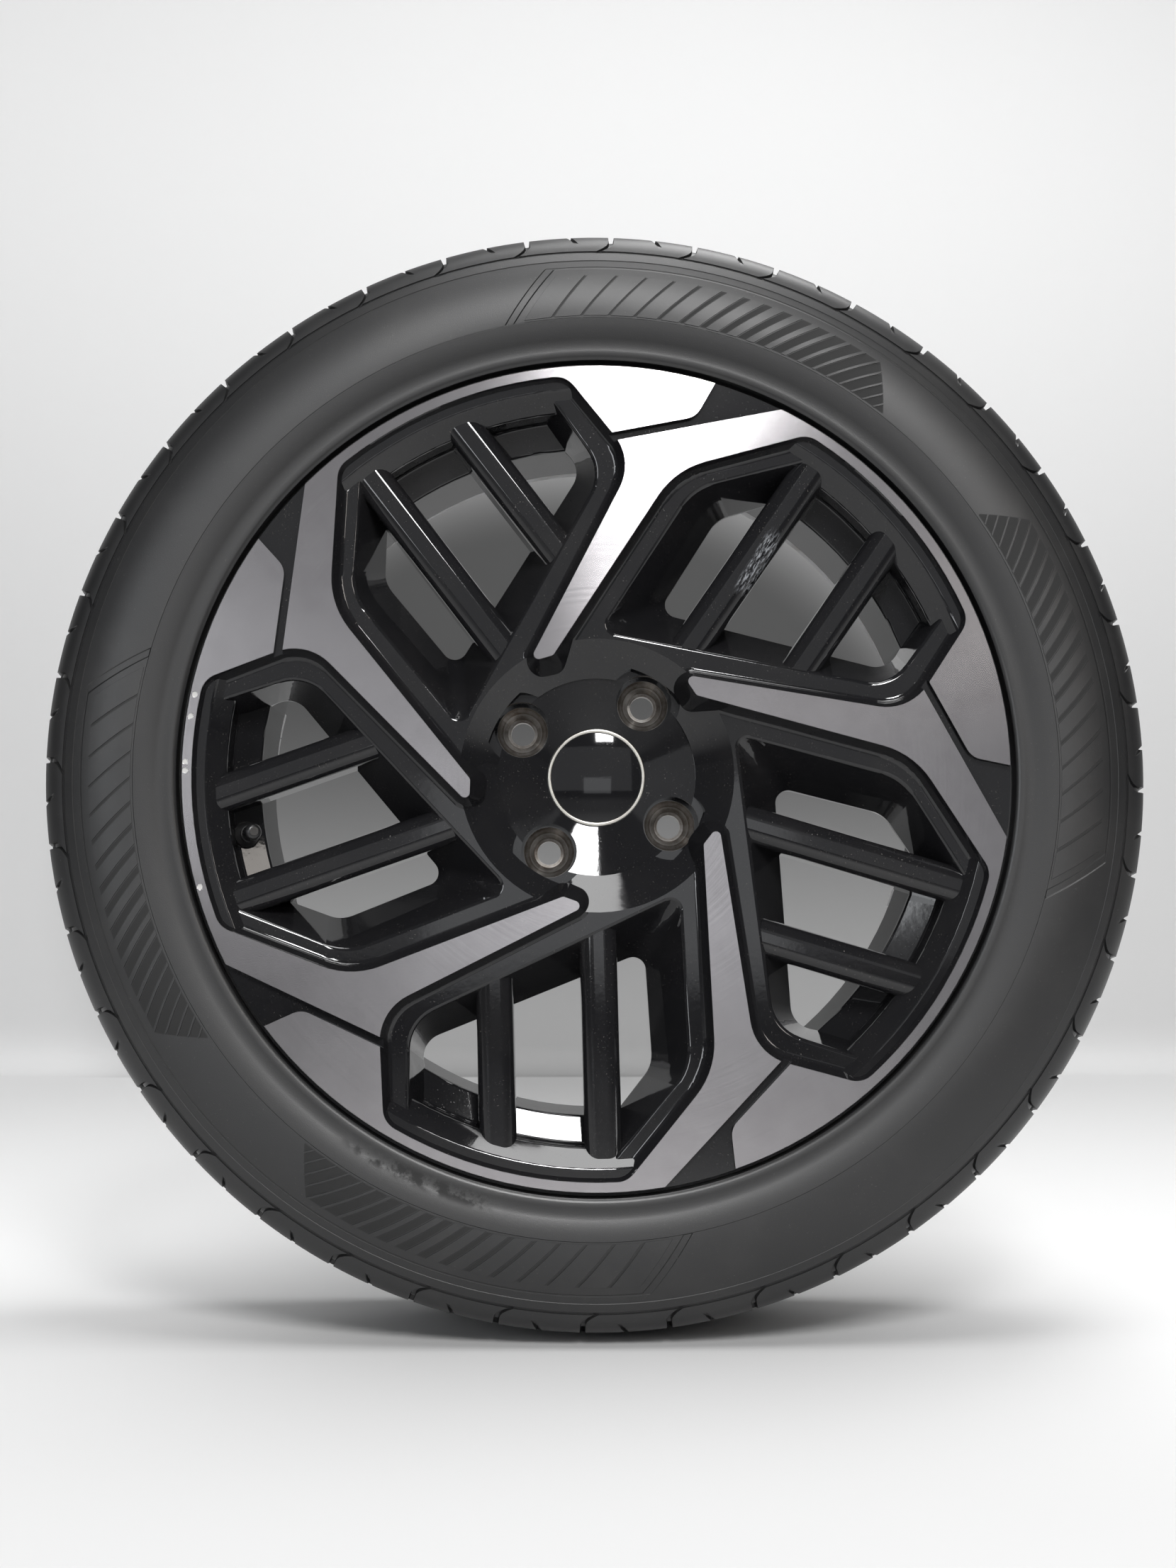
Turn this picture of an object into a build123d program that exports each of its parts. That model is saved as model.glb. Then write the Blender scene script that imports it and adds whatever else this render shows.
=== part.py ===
from build123d import *
from math import cos, radians, sin, tan
import os

# Wheel and tyre assembly, in millimetres.  The origin is the centre of the rim, the wheel
# turns about Y, its outer face looks along -Y, and Z is up.  "Out" is a distance outboard of
# the rim's middle plane, so a point that is "out" by 10 lies at y = -10.

# Rim
rim_diameter = 462.0             # bead seat diameter of the 18 inch size
rim_width = 165.1                # between the two flanges, 6.5 inch
flange_height = 18.5             # flange edge above the bead seat
front_flange_thickness = 13.0    # outboard flange, up to the turned face
rear_flange_thickness = 9.5      # inboard flange
flange_edge_chamfer = 0.9        # outer edge of the turned face
flange_edge_round = 1.2
rear_flange_round = 3.2
bead_corner_round = 6.0          # corner between bead seat and flange
bead_seat_width = 30.0           # flange to the start of the well's side
well_depth = 17.3
well_wall_tilt = 20.0            # degrees, side of the well against the wheel's plane
well_rear_out = -18.0            # where the floor of the well ends
rear_ramp_length = 40.0          # from the floor of the well to the rear bead seat
barrel_wall = 7.0
rear_lip_wall = 11.0             # thicker end of the barrel, below the rear bead seat
rear_lip_width = 26.0
bead_hump = 0.9
bead_hump_width = 9.0

# Disc and hub
wheel_offset = 29.0              # mounting face outboard of the middle plane
pad_diameter = 148.0             # mounting pad at the back of the hub
bore_diameter = 65.1
bore_chamfer = 1.5
bore_depth = 18.0                # centring bore, from the mounting face
bore_relief_diameter = 60.0      # ahead of it, behind the cap's lip
bolt_count = 4
bolt_circle = 108.0
bolt_phase = 57.5                # degrees from +X towards +Z
bolt_hole_diameter = 14.6
bolt_seat_diameter = 31.0
bolt_seat_foot_diameter = 18.5   # small end of the seat
bolt_seat_angle = 60.0           # full cone angle of the seat
bolt_seat_floor = 9.0            # mounting face to the small end of the seat
bolt_foot_depth = 2.0            # straight recess below the seat
bolt_well_diameter = 34.0        # clearance well in front of the seat
hub_face_out = 62.0              # black hub dish, at the cap's edge
hub_dish_diameter = 121.0
hub_dish_rise = 6.5              # from the cap's edge to the edge of the dish
hub_step = 1.5                   # step at the edge of the dish
hub_scallop_diameter = 44.0      # rounded bites of the dish around the bolt wells
hub_bite_height = 14.0           # how far those bites reach up into the hub cone
hub_cone_diameter = 166.0        # where the hub cone reaches the ledge level
disc_rear_drop = 7.0             # back of the disc ahead of the mounting face, at the pad
disc_rear_slope = 5.0            # degrees
pocket_inset = 12.0              # hollow behind each arm, in from the throats beside it
pocket_depth = 34.0              # from the plane of the throats
pocket_tilt = 27.0               # degrees, sides of that hollow
pocket_round = 10.0

# Turned arms and windows.  One window is laid out, the rest are turned copies of it.
arm_count = 5
ledge_depth = 10.0               # painted ledge below the turned face
land_side_tilt = 24.0            # degrees, sides of the turned arms
ledge_round = 3.0
window_edge_round = 2.4
turned_ring_width = 6.5          # turned ring along each window
window_bend_inset = 58.7         # corners of the window at the turned face, below the flange edge
window_bend_angle = 75.7
window_bend_round = 50.0
window_heel_inset = 57.2
window_heel_angle = 11.3
window_heel_round = 30.0
window_top_angle = 58.2          # where the window meets the turned ring
window_side_angle = 22.5
window_ring_round = 14.0
arm_tip_radius = 76.4            # inner tip of an arm
arm_tip_angle = 110.4
arm_tip_width = 15.2
arm_tip_turn = 4.0               # degrees, slant of the tip
arm_tip_round = 3.0

# Openings behind the windows: the rim of the ledge and the throat of the opening
ledge_hub_radius = 87.3
ledge_hub_angle = 88.9
ledge_hub_round = 6.0
ledge_bend_inset = 64.7
ledge_bend_angle = 71.5
ledge_bend_round = 34.0
ledge_heel_inset = 63.5
ledge_heel_angle = 16.8
ledge_heel_round = 26.0
ledge_top_angle = 54.0
ledge_side_angle = 26.3
throat_out = 50.0
throat_hub_radius = 110.8
throat_hub_angle = 69.7
throat_hub_round = 8.0
throat_bend_inset = 69.6
throat_bend_angle = 65.1
throat_bend_round = 20.0
throat_heel_inset = 55.3
throat_heel_angle = 20.5
throat_heel_round = 15.0
throat_top_angle = 50.0
throat_side_angle = 29.5
lip_step_depth = 5.0             # painted step below the turned ring
lip_step_width = 7.5             # inner edge of that step, in from the ring

# Bars across each window
bar_direction = 55.5             # degrees from +X towards +Z
bar_width = 22.5
bar_front_depth = 10.5           # front of the bars below the turned face
bar_thickness = 34.0
bar_round = 8.5
bar_radii = (160.4, 179.4)       # middle of each bar
bar_angles = (54.8, 34.2)
bar_length = 190.0

# Groove and notch that part the rim facet from the arm
groove_width = 5.2
groove_depth = 4.5
groove_end_radius = 204.2
groove_end_angle = 85.6
notch_low_angle = 63.0
notch_high_angle = 73.2
notch_corner_reach = 46.0        # from the groove's end to the notch's corner
notch_round = 12.0

# Tyre
tyre_diameter = 682.0            # 195/60 R18, part worn
section_width = 201.0
tread_width = 148.0
crown_drop = 7.0                 # tread edge below the crown
shoulder_drop = 13.0             # foot of the rounded shoulder below the tread edge
shoulder_inset = 9.5             # that foot inboard of the widest place
shoulder_bulge = 2.6             # roundness of the shoulder
widest_height = 54.2             # widest place of the sidewall above the bead seat
protector_height = 12.0          # rib of rubber that guards the flange, above its edge
protector_inset = 4.0            # that rib inboard of the widest place
protector_gap = 2.6              # rubber outside the flange edge
bead_toe_width = 22.0
bead_height = 26.0
bead_neck = 15.0                 # thickness of the rubber above the bead
bead_clearance = 0.25
sidewall_thickness = 8.0
tread_thickness = 15.0
tread_groove_width = 8.0
tread_groove_depth = 4.5
tread_groove_outs = (-47.0, -17.0, 17.0, 47.0)
shoulder_slot_count = 40
shoulder_slot_width = 3.0
shoulder_slot_phase = 7.5        # degrees from +X towards +Z
shoulder_slot_start = 54.0       # inner end of a shoulder slot, out from the middle of the tread
shoulder_slot_depth = 5.0
shoulder_slot_slant = 5.0        # degrees

# Centre cap
cap_diameter = 60.0
cap_clearance = 0.3
cap_fit = 0.1
cap_flange = 1.1                 # edge of the cap below its bright ring
cap_ring_width = 2.3
cap_ring_height = 3.4
cap_ring_round = 0.75
cap_dome_edge = 2.4              # dome's edge above the flange
cap_dome_rise = 2.6
cap_dome_flat = 0.8              # diameter of the flat at the top of the dome
cap_plate = 2.2
cap_seat_depth = 3.2             # counterbore for the cap in the hub dish
cap_lip_diameter = 54.0          # lip of the hub that the cap snaps behind
cap_lip_thickness = 5.0
cap_leg_count = 6
cap_leg_angle = 30.0             # degrees, width of a leg
cap_leg_thickness = 1.8
cap_hook = 1.2
cap_hook_height = 3.0
cap_hook_gap = 0.2
cap_spring_wire = 1.6

# Valve, laid out along its own axis from the middle of the rim's wall
valve_angle = 189.3              # degrees from +X towards +Z
valve_hole_height = 7.0          # centre of the hole above the floor of the well
valve_hole_diameter = 11.5
valve_fit = 0.1                  # rubber body in its hole
valve_seat_gap = 0.1             # rubber against the faces of the wall
valve_spot_margin = 0.9          # spot faces around the rubber body
valve_bulb_diameter = 18.5
valve_bulb_length = 9.0
valve_shoulder_diameter = 15.2
valve_shoulder_length = 3.0
valve_taper_length = 4.5
valve_neck_diameter = 10.4
valve_neck_length = 2.0
valve_rubber_round = 0.8
valve_edge_round = 0.3             # stem, pin and cap edges
stem_diameter = 7.0
stem_thread_diameter = 7.5
stem_bore = 3.6
stem_tip = 23.5                  # open end of the brass stem
stem_thread_length = 8.0
core_diameter = 4.4
core_fit = 0.05
core_length = 6.5
core_depth = 1.2                 # top of the core below the stem's end
core_web = 1.5                   # floor of the core that guides the pin
core_bore = 3.0                  # room for the spring
core_seal_length = 1.2
pin_diameter = 1.2
pin_clearance = 0.15
pin_tip_depth = 0.3              # tip of the pin below the stem's end
pin_collar_diameter = 2.5
pin_collar_length = 0.7
pin_collar_depth = 1.4           # collar below the tip of the pin
pin_cup_diameter = 3.0
pin_cup_length = 1.4
core_spring_wire = 0.4
core_spring_coils = 4
core_spring_gap = 0.05
valve_cap_diameter = 10.0
valve_cap_length = 11.5
valve_cap_crown = 2.4            # solid end of the cap
valve_cap_dome = 2.6             # rounding of that end
valve_cap_clearance = 0.15       # over the stem's thread
valve_cap_grip_count = 14
valve_cap_grip_diameter = 0.9
valve_cap_grip_length = 7.0
valve_seal_thickness = 0.9
valve_seal_clearance = 0.2

# Stick-on balance weights at the rear edge of the barrel
weight_width = 15.0
weight_thickness = 3.6
weight_segment_length = 16.2
weight_gap = 0.8
weight_tape = 0.8                # foam tape under the weights
weight_tape_gap = 0.05
weight_edge_gap = 4.0            # from the rear edge of the rim
weight_names = ("left", "right")
weight_angles = (174.5, 343.4)   # middle of each strip, degrees from +X towards +Z
weight_counts = (4, 2)           # segments in each strip
weight_round = 1.0

# Values that follow from the sizes above
seat_radius = rim_diameter / 2
flange_radius = seat_radius + flange_height
half_rim = rim_width / 2
face_out = half_rim + front_flange_thickness
rear_out = -(half_rim + rear_flange_thickness)
well_radius = seat_radius - well_depth
barrel_radius = well_radius - barrel_wall
well_front_high = half_rim - bead_seat_width
well_front_low = well_front_high - well_depth * tan(radians(well_wall_tilt))
rear_seat_end = -(half_rim - bead_seat_width)
wall_slant = barrel_wall / cos(radians(well_wall_tilt))
front_barrel_radius = seat_radius - barrel_wall
rear_barrel_radius = seat_radius - rear_lip_wall
ring_radius = flange_radius - turned_ring_width
ledge_out = face_out - ledge_depth
sector = 360.0 / arm_count
bolt_radius = bolt_circle / 2
pad_radius = pad_diameter / 2
tilt_rise = tan(radians(well_wall_tilt))
wall_high = well_front_low + wall_slant + (front_barrel_radius - well_radius) * tilt_rise
lip_edge_radius = ring_radius - lip_step_width
lip_step_out = face_out - lip_step_depth
lip_foot_out = lip_step_out - (lip_edge_radius - front_barrel_radius)   # slope at 45 degrees
wall_low = well_front_low + wall_slant - barrel_wall * tilt_rise
valve_lean = radians(well_wall_tilt)
valve_radius = well_radius + valve_hole_height - sin(valve_lean) * barrel_wall / 2
valve_out = well_front_low + valve_hole_height * tilt_rise + cos(valve_lean) * barrel_wall / 2
hub_bite_out = hub_face_out + hub_bite_height
cap_seat_out = hub_face_out - cap_seat_depth
cap_lip_end = cap_seat_out - cap_lip_thickness
core_top = stem_tip - core_depth
core_foot = core_top - core_length
tyre_radius = tyre_diameter / 2
half_section = section_width / 2
half_tread = tread_width / 2
past = 60.0                      # how far cutting tools run past what they cut
overrun = 1.3                    # lines that must cross an edge are carried this many times on
near = 0.01                      # two places this close are the same place


def polar(radius, angle):
    """Point of the wheel's plane, X to the right and Z up."""
    return Vector(radius * cos(radians(angle)), radius * sin(radians(angle)))


def wheel_plane(out):
    """Drawing plane parallel to the wheel's face, whose normal looks outboard."""
    return Plane.XZ.offset(out)


def outline_face(corners):
    """Face inside a closed outline of (x, y) corners, each with a rounding where it has one."""
    points = [corner[:2] for corner in corners]
    rounds = [corner[2] if len(corner) > 2 else 0.0 for corner in corners]
    return make_face(FilletPolyline(*points, radius=rounds, close=True))


def turned(corners, sweep=360.0):
    """Ring turned about the wheel's axis from (radius, out) corners with optional roundings."""
    flipped = [(corner[0], -corner[1], *corner[2:]) for corner in corners]
    return revolve(outline_face(flipped), Axis.Y, sweep)


def turned_on(plane, corners):
    """Piece turned about the normal of a plane, from (radius, height) corners."""
    face = Plane.XZ * outline_face(corners)
    return plane * revolve(face, Axis.Z)


def around_wheel(solid, count, phase=0.0):
    """Copies of a solid, equally spaced about the wheel's axis, counted from +X towards +Z."""
    return [solid.rotate(Axis.Y, -(phase + 360.0 * k / count)) for k in range(count)]


def extended(start, end):
    """Point on the line from start to end, carried past its end."""
    return start + (end - start) * overrun


def rounded_corners(places):
    """Corners (x, y, rounding) from pairs of a point and its rounding."""
    return [(place.X, place.Y, rounding) for place, rounding in places]


# Alloy wheel: cast in one piece, face-turned, painted in the hollows
def rim_and_disc():
    """Rim, barrel and solid spoke disc, turned as one ring."""
    hub_rear = wheel_offset + disc_rear_drop
    disc_rear_end = hub_rear + (barrel_radius - pad_radius) * tan(radians(disc_rear_slope))
    rear_hump_end = well_rear_out - rear_ramp_length
    return turned([
        (flange_radius - flange_edge_chamfer, face_out),
        (flange_radius, face_out - flange_edge_chamfer),
        (flange_radius, half_rim, flange_edge_round),
        (seat_radius, half_rim, bead_corner_round),
        (seat_radius, well_front_high + bead_hump_width),
        (seat_radius + bead_hump, well_front_high + bead_hump_width / 2, bead_hump_width),
        (seat_radius, well_front_high, barrel_wall / 2),
        (well_radius, well_front_low, barrel_wall / 2),
        (well_radius, well_rear_out, barrel_wall),
        (seat_radius, rear_hump_end, barrel_wall),
        (seat_radius, -half_rim, bead_corner_round),
        (flange_radius, -half_rim, flange_edge_round),
        (flange_radius, rear_out, rear_flange_round),
        (rear_barrel_radius, rear_out, flange_edge_round),
        (rear_barrel_radius, rear_out + rear_lip_width, barrel_wall),
        (front_barrel_radius, rear_hump_end, barrel_wall),
        (barrel_radius, well_rear_out, barrel_wall),
        (barrel_radius, disc_rear_end, barrel_wall / 2),
        (pad_radius, hub_rear, barrel_wall / 2),
        (pad_radius, wheel_offset, flange_edge_round),
        (0.0, wheel_offset),
        (0.0, face_out),
    ])


def star_outline(limit):
    """What lies between the arms, seen from the front, out to the limit radius."""
    tip_right = polar(arm_tip_radius, arm_tip_angle)
    tip_left = tip_right + polar(arm_tip_width, arm_tip_angle + 90.0 - arm_tip_turn)
    bend = polar(flange_radius - window_bend_inset, window_bend_angle)
    heel = polar(flange_radius - window_heel_inset, window_heel_angle)
    window = [
        (tip_right, arm_tip_round),
        (bend, window_bend_round),
        (extended(bend, polar(ring_radius, window_top_angle)), 0.0),
        (extended(heel, polar(ring_radius, window_side_angle)), 0.0),
        (heel, window_heel_round),
        (tip_left.rotate(Axis.Z, -sector), arm_tip_round),
    ]
    places = []
    for k in range(arm_count):
        places += [(place.rotate(Axis.Z, -sector * k), rounding) for place, rounding in window]
    return outline_face(rounded_corners(places)) & Circle(limit)


def window_recess():
    """What is cut between the arms down to the ledge, with sloping sides and a rounded foot,
    and along the rim down to the slope of the lip."""
    star = star_outline(ring_radius)
    on_ring = [v for v in star.vertices() if abs(Vector(v.X, v.Y).length - ring_radius) < near]
    star = wheel_plane(face_out) * fillet(on_ring, window_ring_round)
    recess = extrude(star, amount=-ledge_depth, taper=land_side_tilt)
    foot = recess.faces().sort_by(Axis.Y)[-1].edges()
    recess = fillet(foot, ledge_round) + extrude(star, amount=past)
    return recess & lip_envelope()


def lip_envelope():
    """Room inside the rim: the step below the turned ring, the lip's slope, the front of the
    barrel and the side of the well."""
    return turned([
        (0.0, face_out + past),
        (flange_radius, face_out + past),
        (ring_radius, lip_step_out),
        (lip_edge_radius, lip_step_out, window_edge_round),
        (front_barrel_radius, lip_foot_out, window_edge_round),
        (front_barrel_radius, wall_high, window_edge_round),
        (barrel_radius, wall_low, window_edge_round),
        (barrel_radius, -past),
        (0.0, -past),
    ])


def opening():
    """Opening behind one window: a rounded rim, sloping walls down to the throat, then straight
    to the back."""
    ledge_bend = polar(flange_radius - ledge_bend_inset, ledge_bend_angle)
    ledge_heel = polar(flange_radius - ledge_heel_inset, ledge_heel_angle)
    throat_bend = polar(flange_radius - throat_bend_inset, throat_bend_angle)
    throat_heel = polar(flange_radius - throat_heel_inset, throat_heel_angle)
    rim_corners = rounded_corners([
        (polar(ledge_hub_radius, ledge_hub_angle), ledge_hub_round),
        (ledge_bend, ledge_bend_round),
        (extended(ledge_bend, polar(ring_radius, ledge_top_angle)), ledge_round),
        (extended(ledge_heel, polar(ring_radius, ledge_side_angle)), ledge_round),
        (ledge_heel, ledge_heel_round),
    ])
    throat_corners = rounded_corners([
        (polar(throat_hub_radius, throat_hub_angle), throat_hub_round),
        (throat_bend, throat_bend_round),
        (extended(throat_bend, polar(ring_radius, throat_top_angle)), ledge_round),
        (extended(throat_heel, polar(ring_radius, throat_side_angle)), ledge_round),
        (throat_heel, throat_heel_round),
    ])
    rim = wheel_plane(ledge_out) * outline_face(rim_corners)
    throat = wheel_plane(throat_out) * outline_face(throat_corners)
    slab = extrude(wheel_plane(ledge_out) * offset(outline_face(rim_corners), ledge_round), ledge_round)
    walls = slab + loft([rim, throat], ruled=True)
    marks = [edge.center() for edge in rim.edges()]
    rim_edges = [e for e in walls.edges() if min((e.center() - mark).length for mark in marks) < near]
    walls = fillet(rim_edges, window_edge_round) + extrude(throat, amount=-past)
    return walls & lip_envelope()


def arm_pocket():
    """Hollow in the back of one arm, between the throats of the openings beside it."""
    throat_bend = polar(flange_radius - throat_bend_inset, throat_bend_angle)
    throat_heel = polar(flange_radius - throat_heel_inset, throat_heel_angle)
    throat_hub = polar(throat_hub_radius, throat_hub_angle)
    next_heel = throat_heel.rotate(Axis.Z, sector)
    next_hub = throat_hub.rotate(Axis.Z, sector)
    arm = make_face(Polyline(throat_hub, throat_bend, next_heel, next_hub, close=True))
    mouth = offset(arm, -pocket_inset, kind=Kind.INTERSECTION)
    mouth = wheel_plane(throat_out) * fillet(mouth.vertices(), pocket_round)
    return extrude(mouth, amount=-past) + extrude(mouth, amount=pocket_depth, taper=pocket_tilt)


def window_bars():
    """Two round-fronted bars across one window, parallel to the arm, ending inside the rim."""
    along = polar(1.0, bar_direction)
    rim_end = barrel_wall / 2
    lip_radius = front_barrel_radius + ledge_out - lip_foot_out
    keep = turned([
        (ledge_hub_radius, ledge_out),
        (lip_radius + rim_end, ledge_out),
        (front_barrel_radius + rim_end, lip_foot_out),
        (front_barrel_radius + rim_end, wall_high),
        (barrel_radius + rim_end, wall_low - rim_end),
        (barrel_radius + rim_end, wheel_offset),
        (ledge_hub_radius, wheel_offset),
    ])
    bars = []
    for radius, angle in zip(bar_radii, bar_angles):
        middle = polar(radius, angle)
        section_plane = Plane(
            origin=(middle.X, bar_front_depth + bar_thickness / 2 - face_out, middle.Y),
            x_dir=(0, -1, 0),
            z_dir=(along.X, 0, along.Y),
        )
        section = Rectangle(bar_thickness, bar_width)
        section = fillet(section.vertices().group_by(Axis.X)[-1], bar_round)
        bars.append(extrude(section_plane * section, amount=bar_length / 2, both=True) & keep)
    return bars


def hub_hollow():
    """Hollow of the hub: a cone below the arms' tips, and the dish with its rounded bites."""
    dish_edge_out = hub_face_out + hub_dish_rise
    hub_edge_out = dish_edge_out + hub_step
    reach = star_outline(hub_cone_diameter)
    depth = face_out - hub_edge_out
    between_arms = extrude(wheel_plane(face_out) * reach, amount=-depth, taper=land_side_tilt)
    cone = turned([
        (0.0, hub_edge_out - near),
        (hub_dish_diameter / 2, hub_edge_out - near),
        (hub_cone_diameter / 2, ledge_out),
        (hub_cone_diameter / 2, face_out),
        (0.0, face_out),
    ])
    dish = turned([
        (0.0, hub_face_out),
        (cap_diameter / 2 + cap_clearance, hub_face_out),
        (hub_dish_diameter / 2, dish_edge_out),
        (hub_cone_diameter / 2, dish_edge_out),
        (hub_cone_diameter / 2, face_out),
        (0.0, face_out),
    ])
    disc = Circle(hub_dish_diameter / 2)
    for k in range(bolt_count):
        place = polar(bolt_radius, bolt_phase + 360.0 * k / bolt_count)
        disc += Pos(place.X, place.Y) * Circle(hub_scallop_diameter / 2)
    bites = extrude(wheel_plane(wheel_offset) * disc, amount=hub_bite_out - wheel_offset)
    return [between_arms & cone, bites & dish]


def bolt_hole():
    """Well, cone seat, foot and through hole for one wheel bolt, on +X."""
    seat_out = wheel_offset + bolt_seat_floor
    cone_rise = (bolt_seat_diameter - bolt_seat_foot_diameter) / 2 / tan(radians(bolt_seat_angle / 2))
    axis_plane = Plane(origin=(bolt_radius, 0, 0), x_dir=(1, 0, 0), z_dir=(0, -1, 0))
    return turned_on(axis_plane, [
        (0.0, wheel_offset - past),
        (bolt_hole_diameter / 2, wheel_offset - past),
        (bolt_hole_diameter / 2, seat_out - bolt_foot_depth),
        (bolt_seat_foot_diameter / 2, seat_out - bolt_foot_depth),
        (bolt_seat_foot_diameter / 2, seat_out),
        (bolt_seat_diameter / 2, seat_out + cone_rise),
        (bolt_well_diameter / 2, seat_out + cone_rise),
        (bolt_well_diameter / 2, hub_bite_out),
        (0.0, hub_bite_out),
    ])


def centre_bore():
    """Hub bore from the back, the lip that holds the cap, and the cap's counterbore."""
    bore_radius = bore_diameter / 2
    return turned([
        (0.0, wheel_offset - past),
        (bore_radius + bore_chamfer, wheel_offset - past),
        (bore_radius + bore_chamfer, wheel_offset),
        (bore_radius, wheel_offset + bore_chamfer),
        (bore_radius, wheel_offset + bore_depth),
        (bore_relief_diameter / 2, wheel_offset + bore_depth),
        (bore_relief_diameter / 2, cap_lip_end),
        (cap_lip_diameter / 2, cap_lip_end),
        (cap_lip_diameter / 2, cap_seat_out),
        (cap_diameter / 2 + cap_clearance, cap_seat_out),
        (cap_diameter / 2 + cap_clearance, hub_bite_out),
        (0.0, hub_bite_out),
    ])


def groove_and_notch():
    """Painted groove between an arm and its rim facet, widening to a notch at the flange."""
    low_end = polar(groove_end_radius, groove_end_angle)
    low_rim = polar(flange_radius, notch_low_angle)
    along = (low_rim - low_end).normalized()
    across = along.rotate(Axis.Z, 90.0) * groove_width
    corner = low_end + across + along * notch_corner_reach
    high_rim = polar(flange_radius, notch_high_angle)
    inner = extended(low_rim, low_end)
    places = [
        (inner, 0.0),
        (extended(low_end, low_rim), 0.0),
        (extended(corner, high_rim), 0.0),
        (corner, notch_round),
        (inner + across, 0.0),
    ]
    face = wheel_plane(face_out - groove_depth) * outline_face(rounded_corners(places))
    return extrude(face, amount=past)


def valve_plane():
    """Plane at the middle of the rim's wall, square to the valve, whose normal looks outboard."""
    inward = polar(1.0, valve_angle) * -sin(valve_lean)
    middle = polar(valve_radius, valve_angle)
    tangent = polar(1.0, valve_angle + 90.0)
    return Plane(
        origin=(middle.X, -valve_out, middle.Y),
        x_dir=(tangent.X, 0, tangent.Y),
        z_dir=(inward.X, -cos(valve_lean), inward.Y),
    )


def valve_hole():
    """Hole for the valve, with a spot face on each side of the wall."""
    half_wall = barrel_wall / 2
    bulb_spot = valve_bulb_diameter / 2 + valve_spot_margin
    shoulder_spot = valve_shoulder_diameter / 2 + valve_spot_margin
    return turned_on(valve_plane(), [
        (0.0, -half_wall - valve_bulb_length - valve_spot_margin),
        (bulb_spot, -half_wall - valve_bulb_length - valve_spot_margin),
        (bulb_spot, -half_wall),
        (valve_hole_diameter / 2, -half_wall),
        (valve_hole_diameter / 2, half_wall),
        (shoulder_spot, half_wall),
        (shoulder_spot, half_wall + valve_shoulder_length + valve_taper_length),
        (0.0, half_wall + valve_shoulder_length + valve_taper_length),
    ])


def alloy_wheel():
    """The cast wheel, with its windows, bars, hub, holes and grooves."""
    wheel = rim_and_disc() - window_recess() - around_wheel(opening(), arm_count)
    for bar in window_bars():
        wheel = wheel + around_wheel(bar, arm_count)
    wheel = wheel - hub_hollow() - around_wheel(arm_pocket(), arm_count)
    wheel = wheel - around_wheel(bolt_hole(), bolt_count, bolt_phase)
    wheel = wheel - around_wheel(groove_and_notch(), arm_count)
    return wheel - [centre_bore(), valve_hole()]


# Tyre: one moulding of rubber
def shoulder_places(sign):
    """Edge of the tread and foot of the rounded shoulder on one side, as (radius, out)."""
    edge_radius = tyre_radius - crown_drop
    edge = (edge_radius, sign * half_tread)
    foot = (edge_radius - shoulder_drop, sign * (half_section - shoulder_inset))
    return edge, foot


def drawn(place):
    """Point of the drawing for a (radius, out) place."""
    return place[0], -place[1]


def tyre_half(sign):
    """Lines of one side, from the edge of the tread round the bead to the inside of the tread."""
    edge, foot = shoulder_places(sign)
    bulge_radius = (edge[0] + foot[0]) / 2 + shoulder_bulge
    bulge_out = (edge[1] + foot[1]) / 2 + sign * shoulder_bulge
    widest_radius = seat_radius + widest_height
    lip_radius = flange_radius + protector_gap
    heel_out = sign * (half_rim - bead_clearance)
    bead_radius = seat_radius + bead_clearance
    rib_out = half_section - protector_inset
    bead = [
        (flange_radius + protector_height, sign * rib_out),
        (lip_radius, sign * face_out),
        (lip_radius, heel_out),
        (bead_radius + bead_corner_round, heel_out),
        (bead_radius, heel_out - sign * bead_corner_round),
        (bead_radius, sign * (half_rim - bead_toe_width)),
        (bead_radius + bead_height, sign * (rib_out - bead_neck)),
    ]
    inner_widest = (widest_radius, sign * (half_section - sidewall_thickness))
    inner_foot = (foot[0], foot[1] - sign * sidewall_thickness)
    return [
        ThreePointArc(drawn(edge), (bulge_radius, -bulge_out), drawn(foot)),
        ThreePointArc(drawn(foot), (widest_radius, -sign * half_section), drawn(bead[0])),
        Polyline(*[drawn(place) for place in bead]),
        ThreePointArc(drawn(bead[-1]), drawn(inner_widest), drawn(inner_foot)),
    ]


def tyre():
    """Hollow tyre, turned from arcs, with tread grooves and shoulder slots."""
    front = tyre_half(1)
    rear = tyre_half(-1)
    crown = ThreePointArc(front[0] @ 0, (tyre_radius, 0), rear[0] @ 0)
    ceiling = ThreePointArc(front[-1] @ 1, (tyre_radius - tread_thickness, 0), rear[-1] @ 1)
    body = revolve(make_face(front + rear + [crown, ceiling]), Axis.Y)
    cuts = [tread_groove(out) for out in tread_groove_outs]
    for sign in (1, -1):
        cuts += around_wheel(shoulder_slot(sign), shoulder_slot_count, shoulder_slot_phase)
    return body - cuts


def tread_groove(out):
    """Straight groove round the tread."""
    floor = tyre_radius - crown_drop * (out / half_tread) ** 2 - tread_groove_depth
    half = tread_groove_width / 2
    return turned([
        (floor, out - half),
        (floor, out + half),
        (tyre_radius + past, out + half),
        (tyre_radius + past, out - half),
    ])


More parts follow.
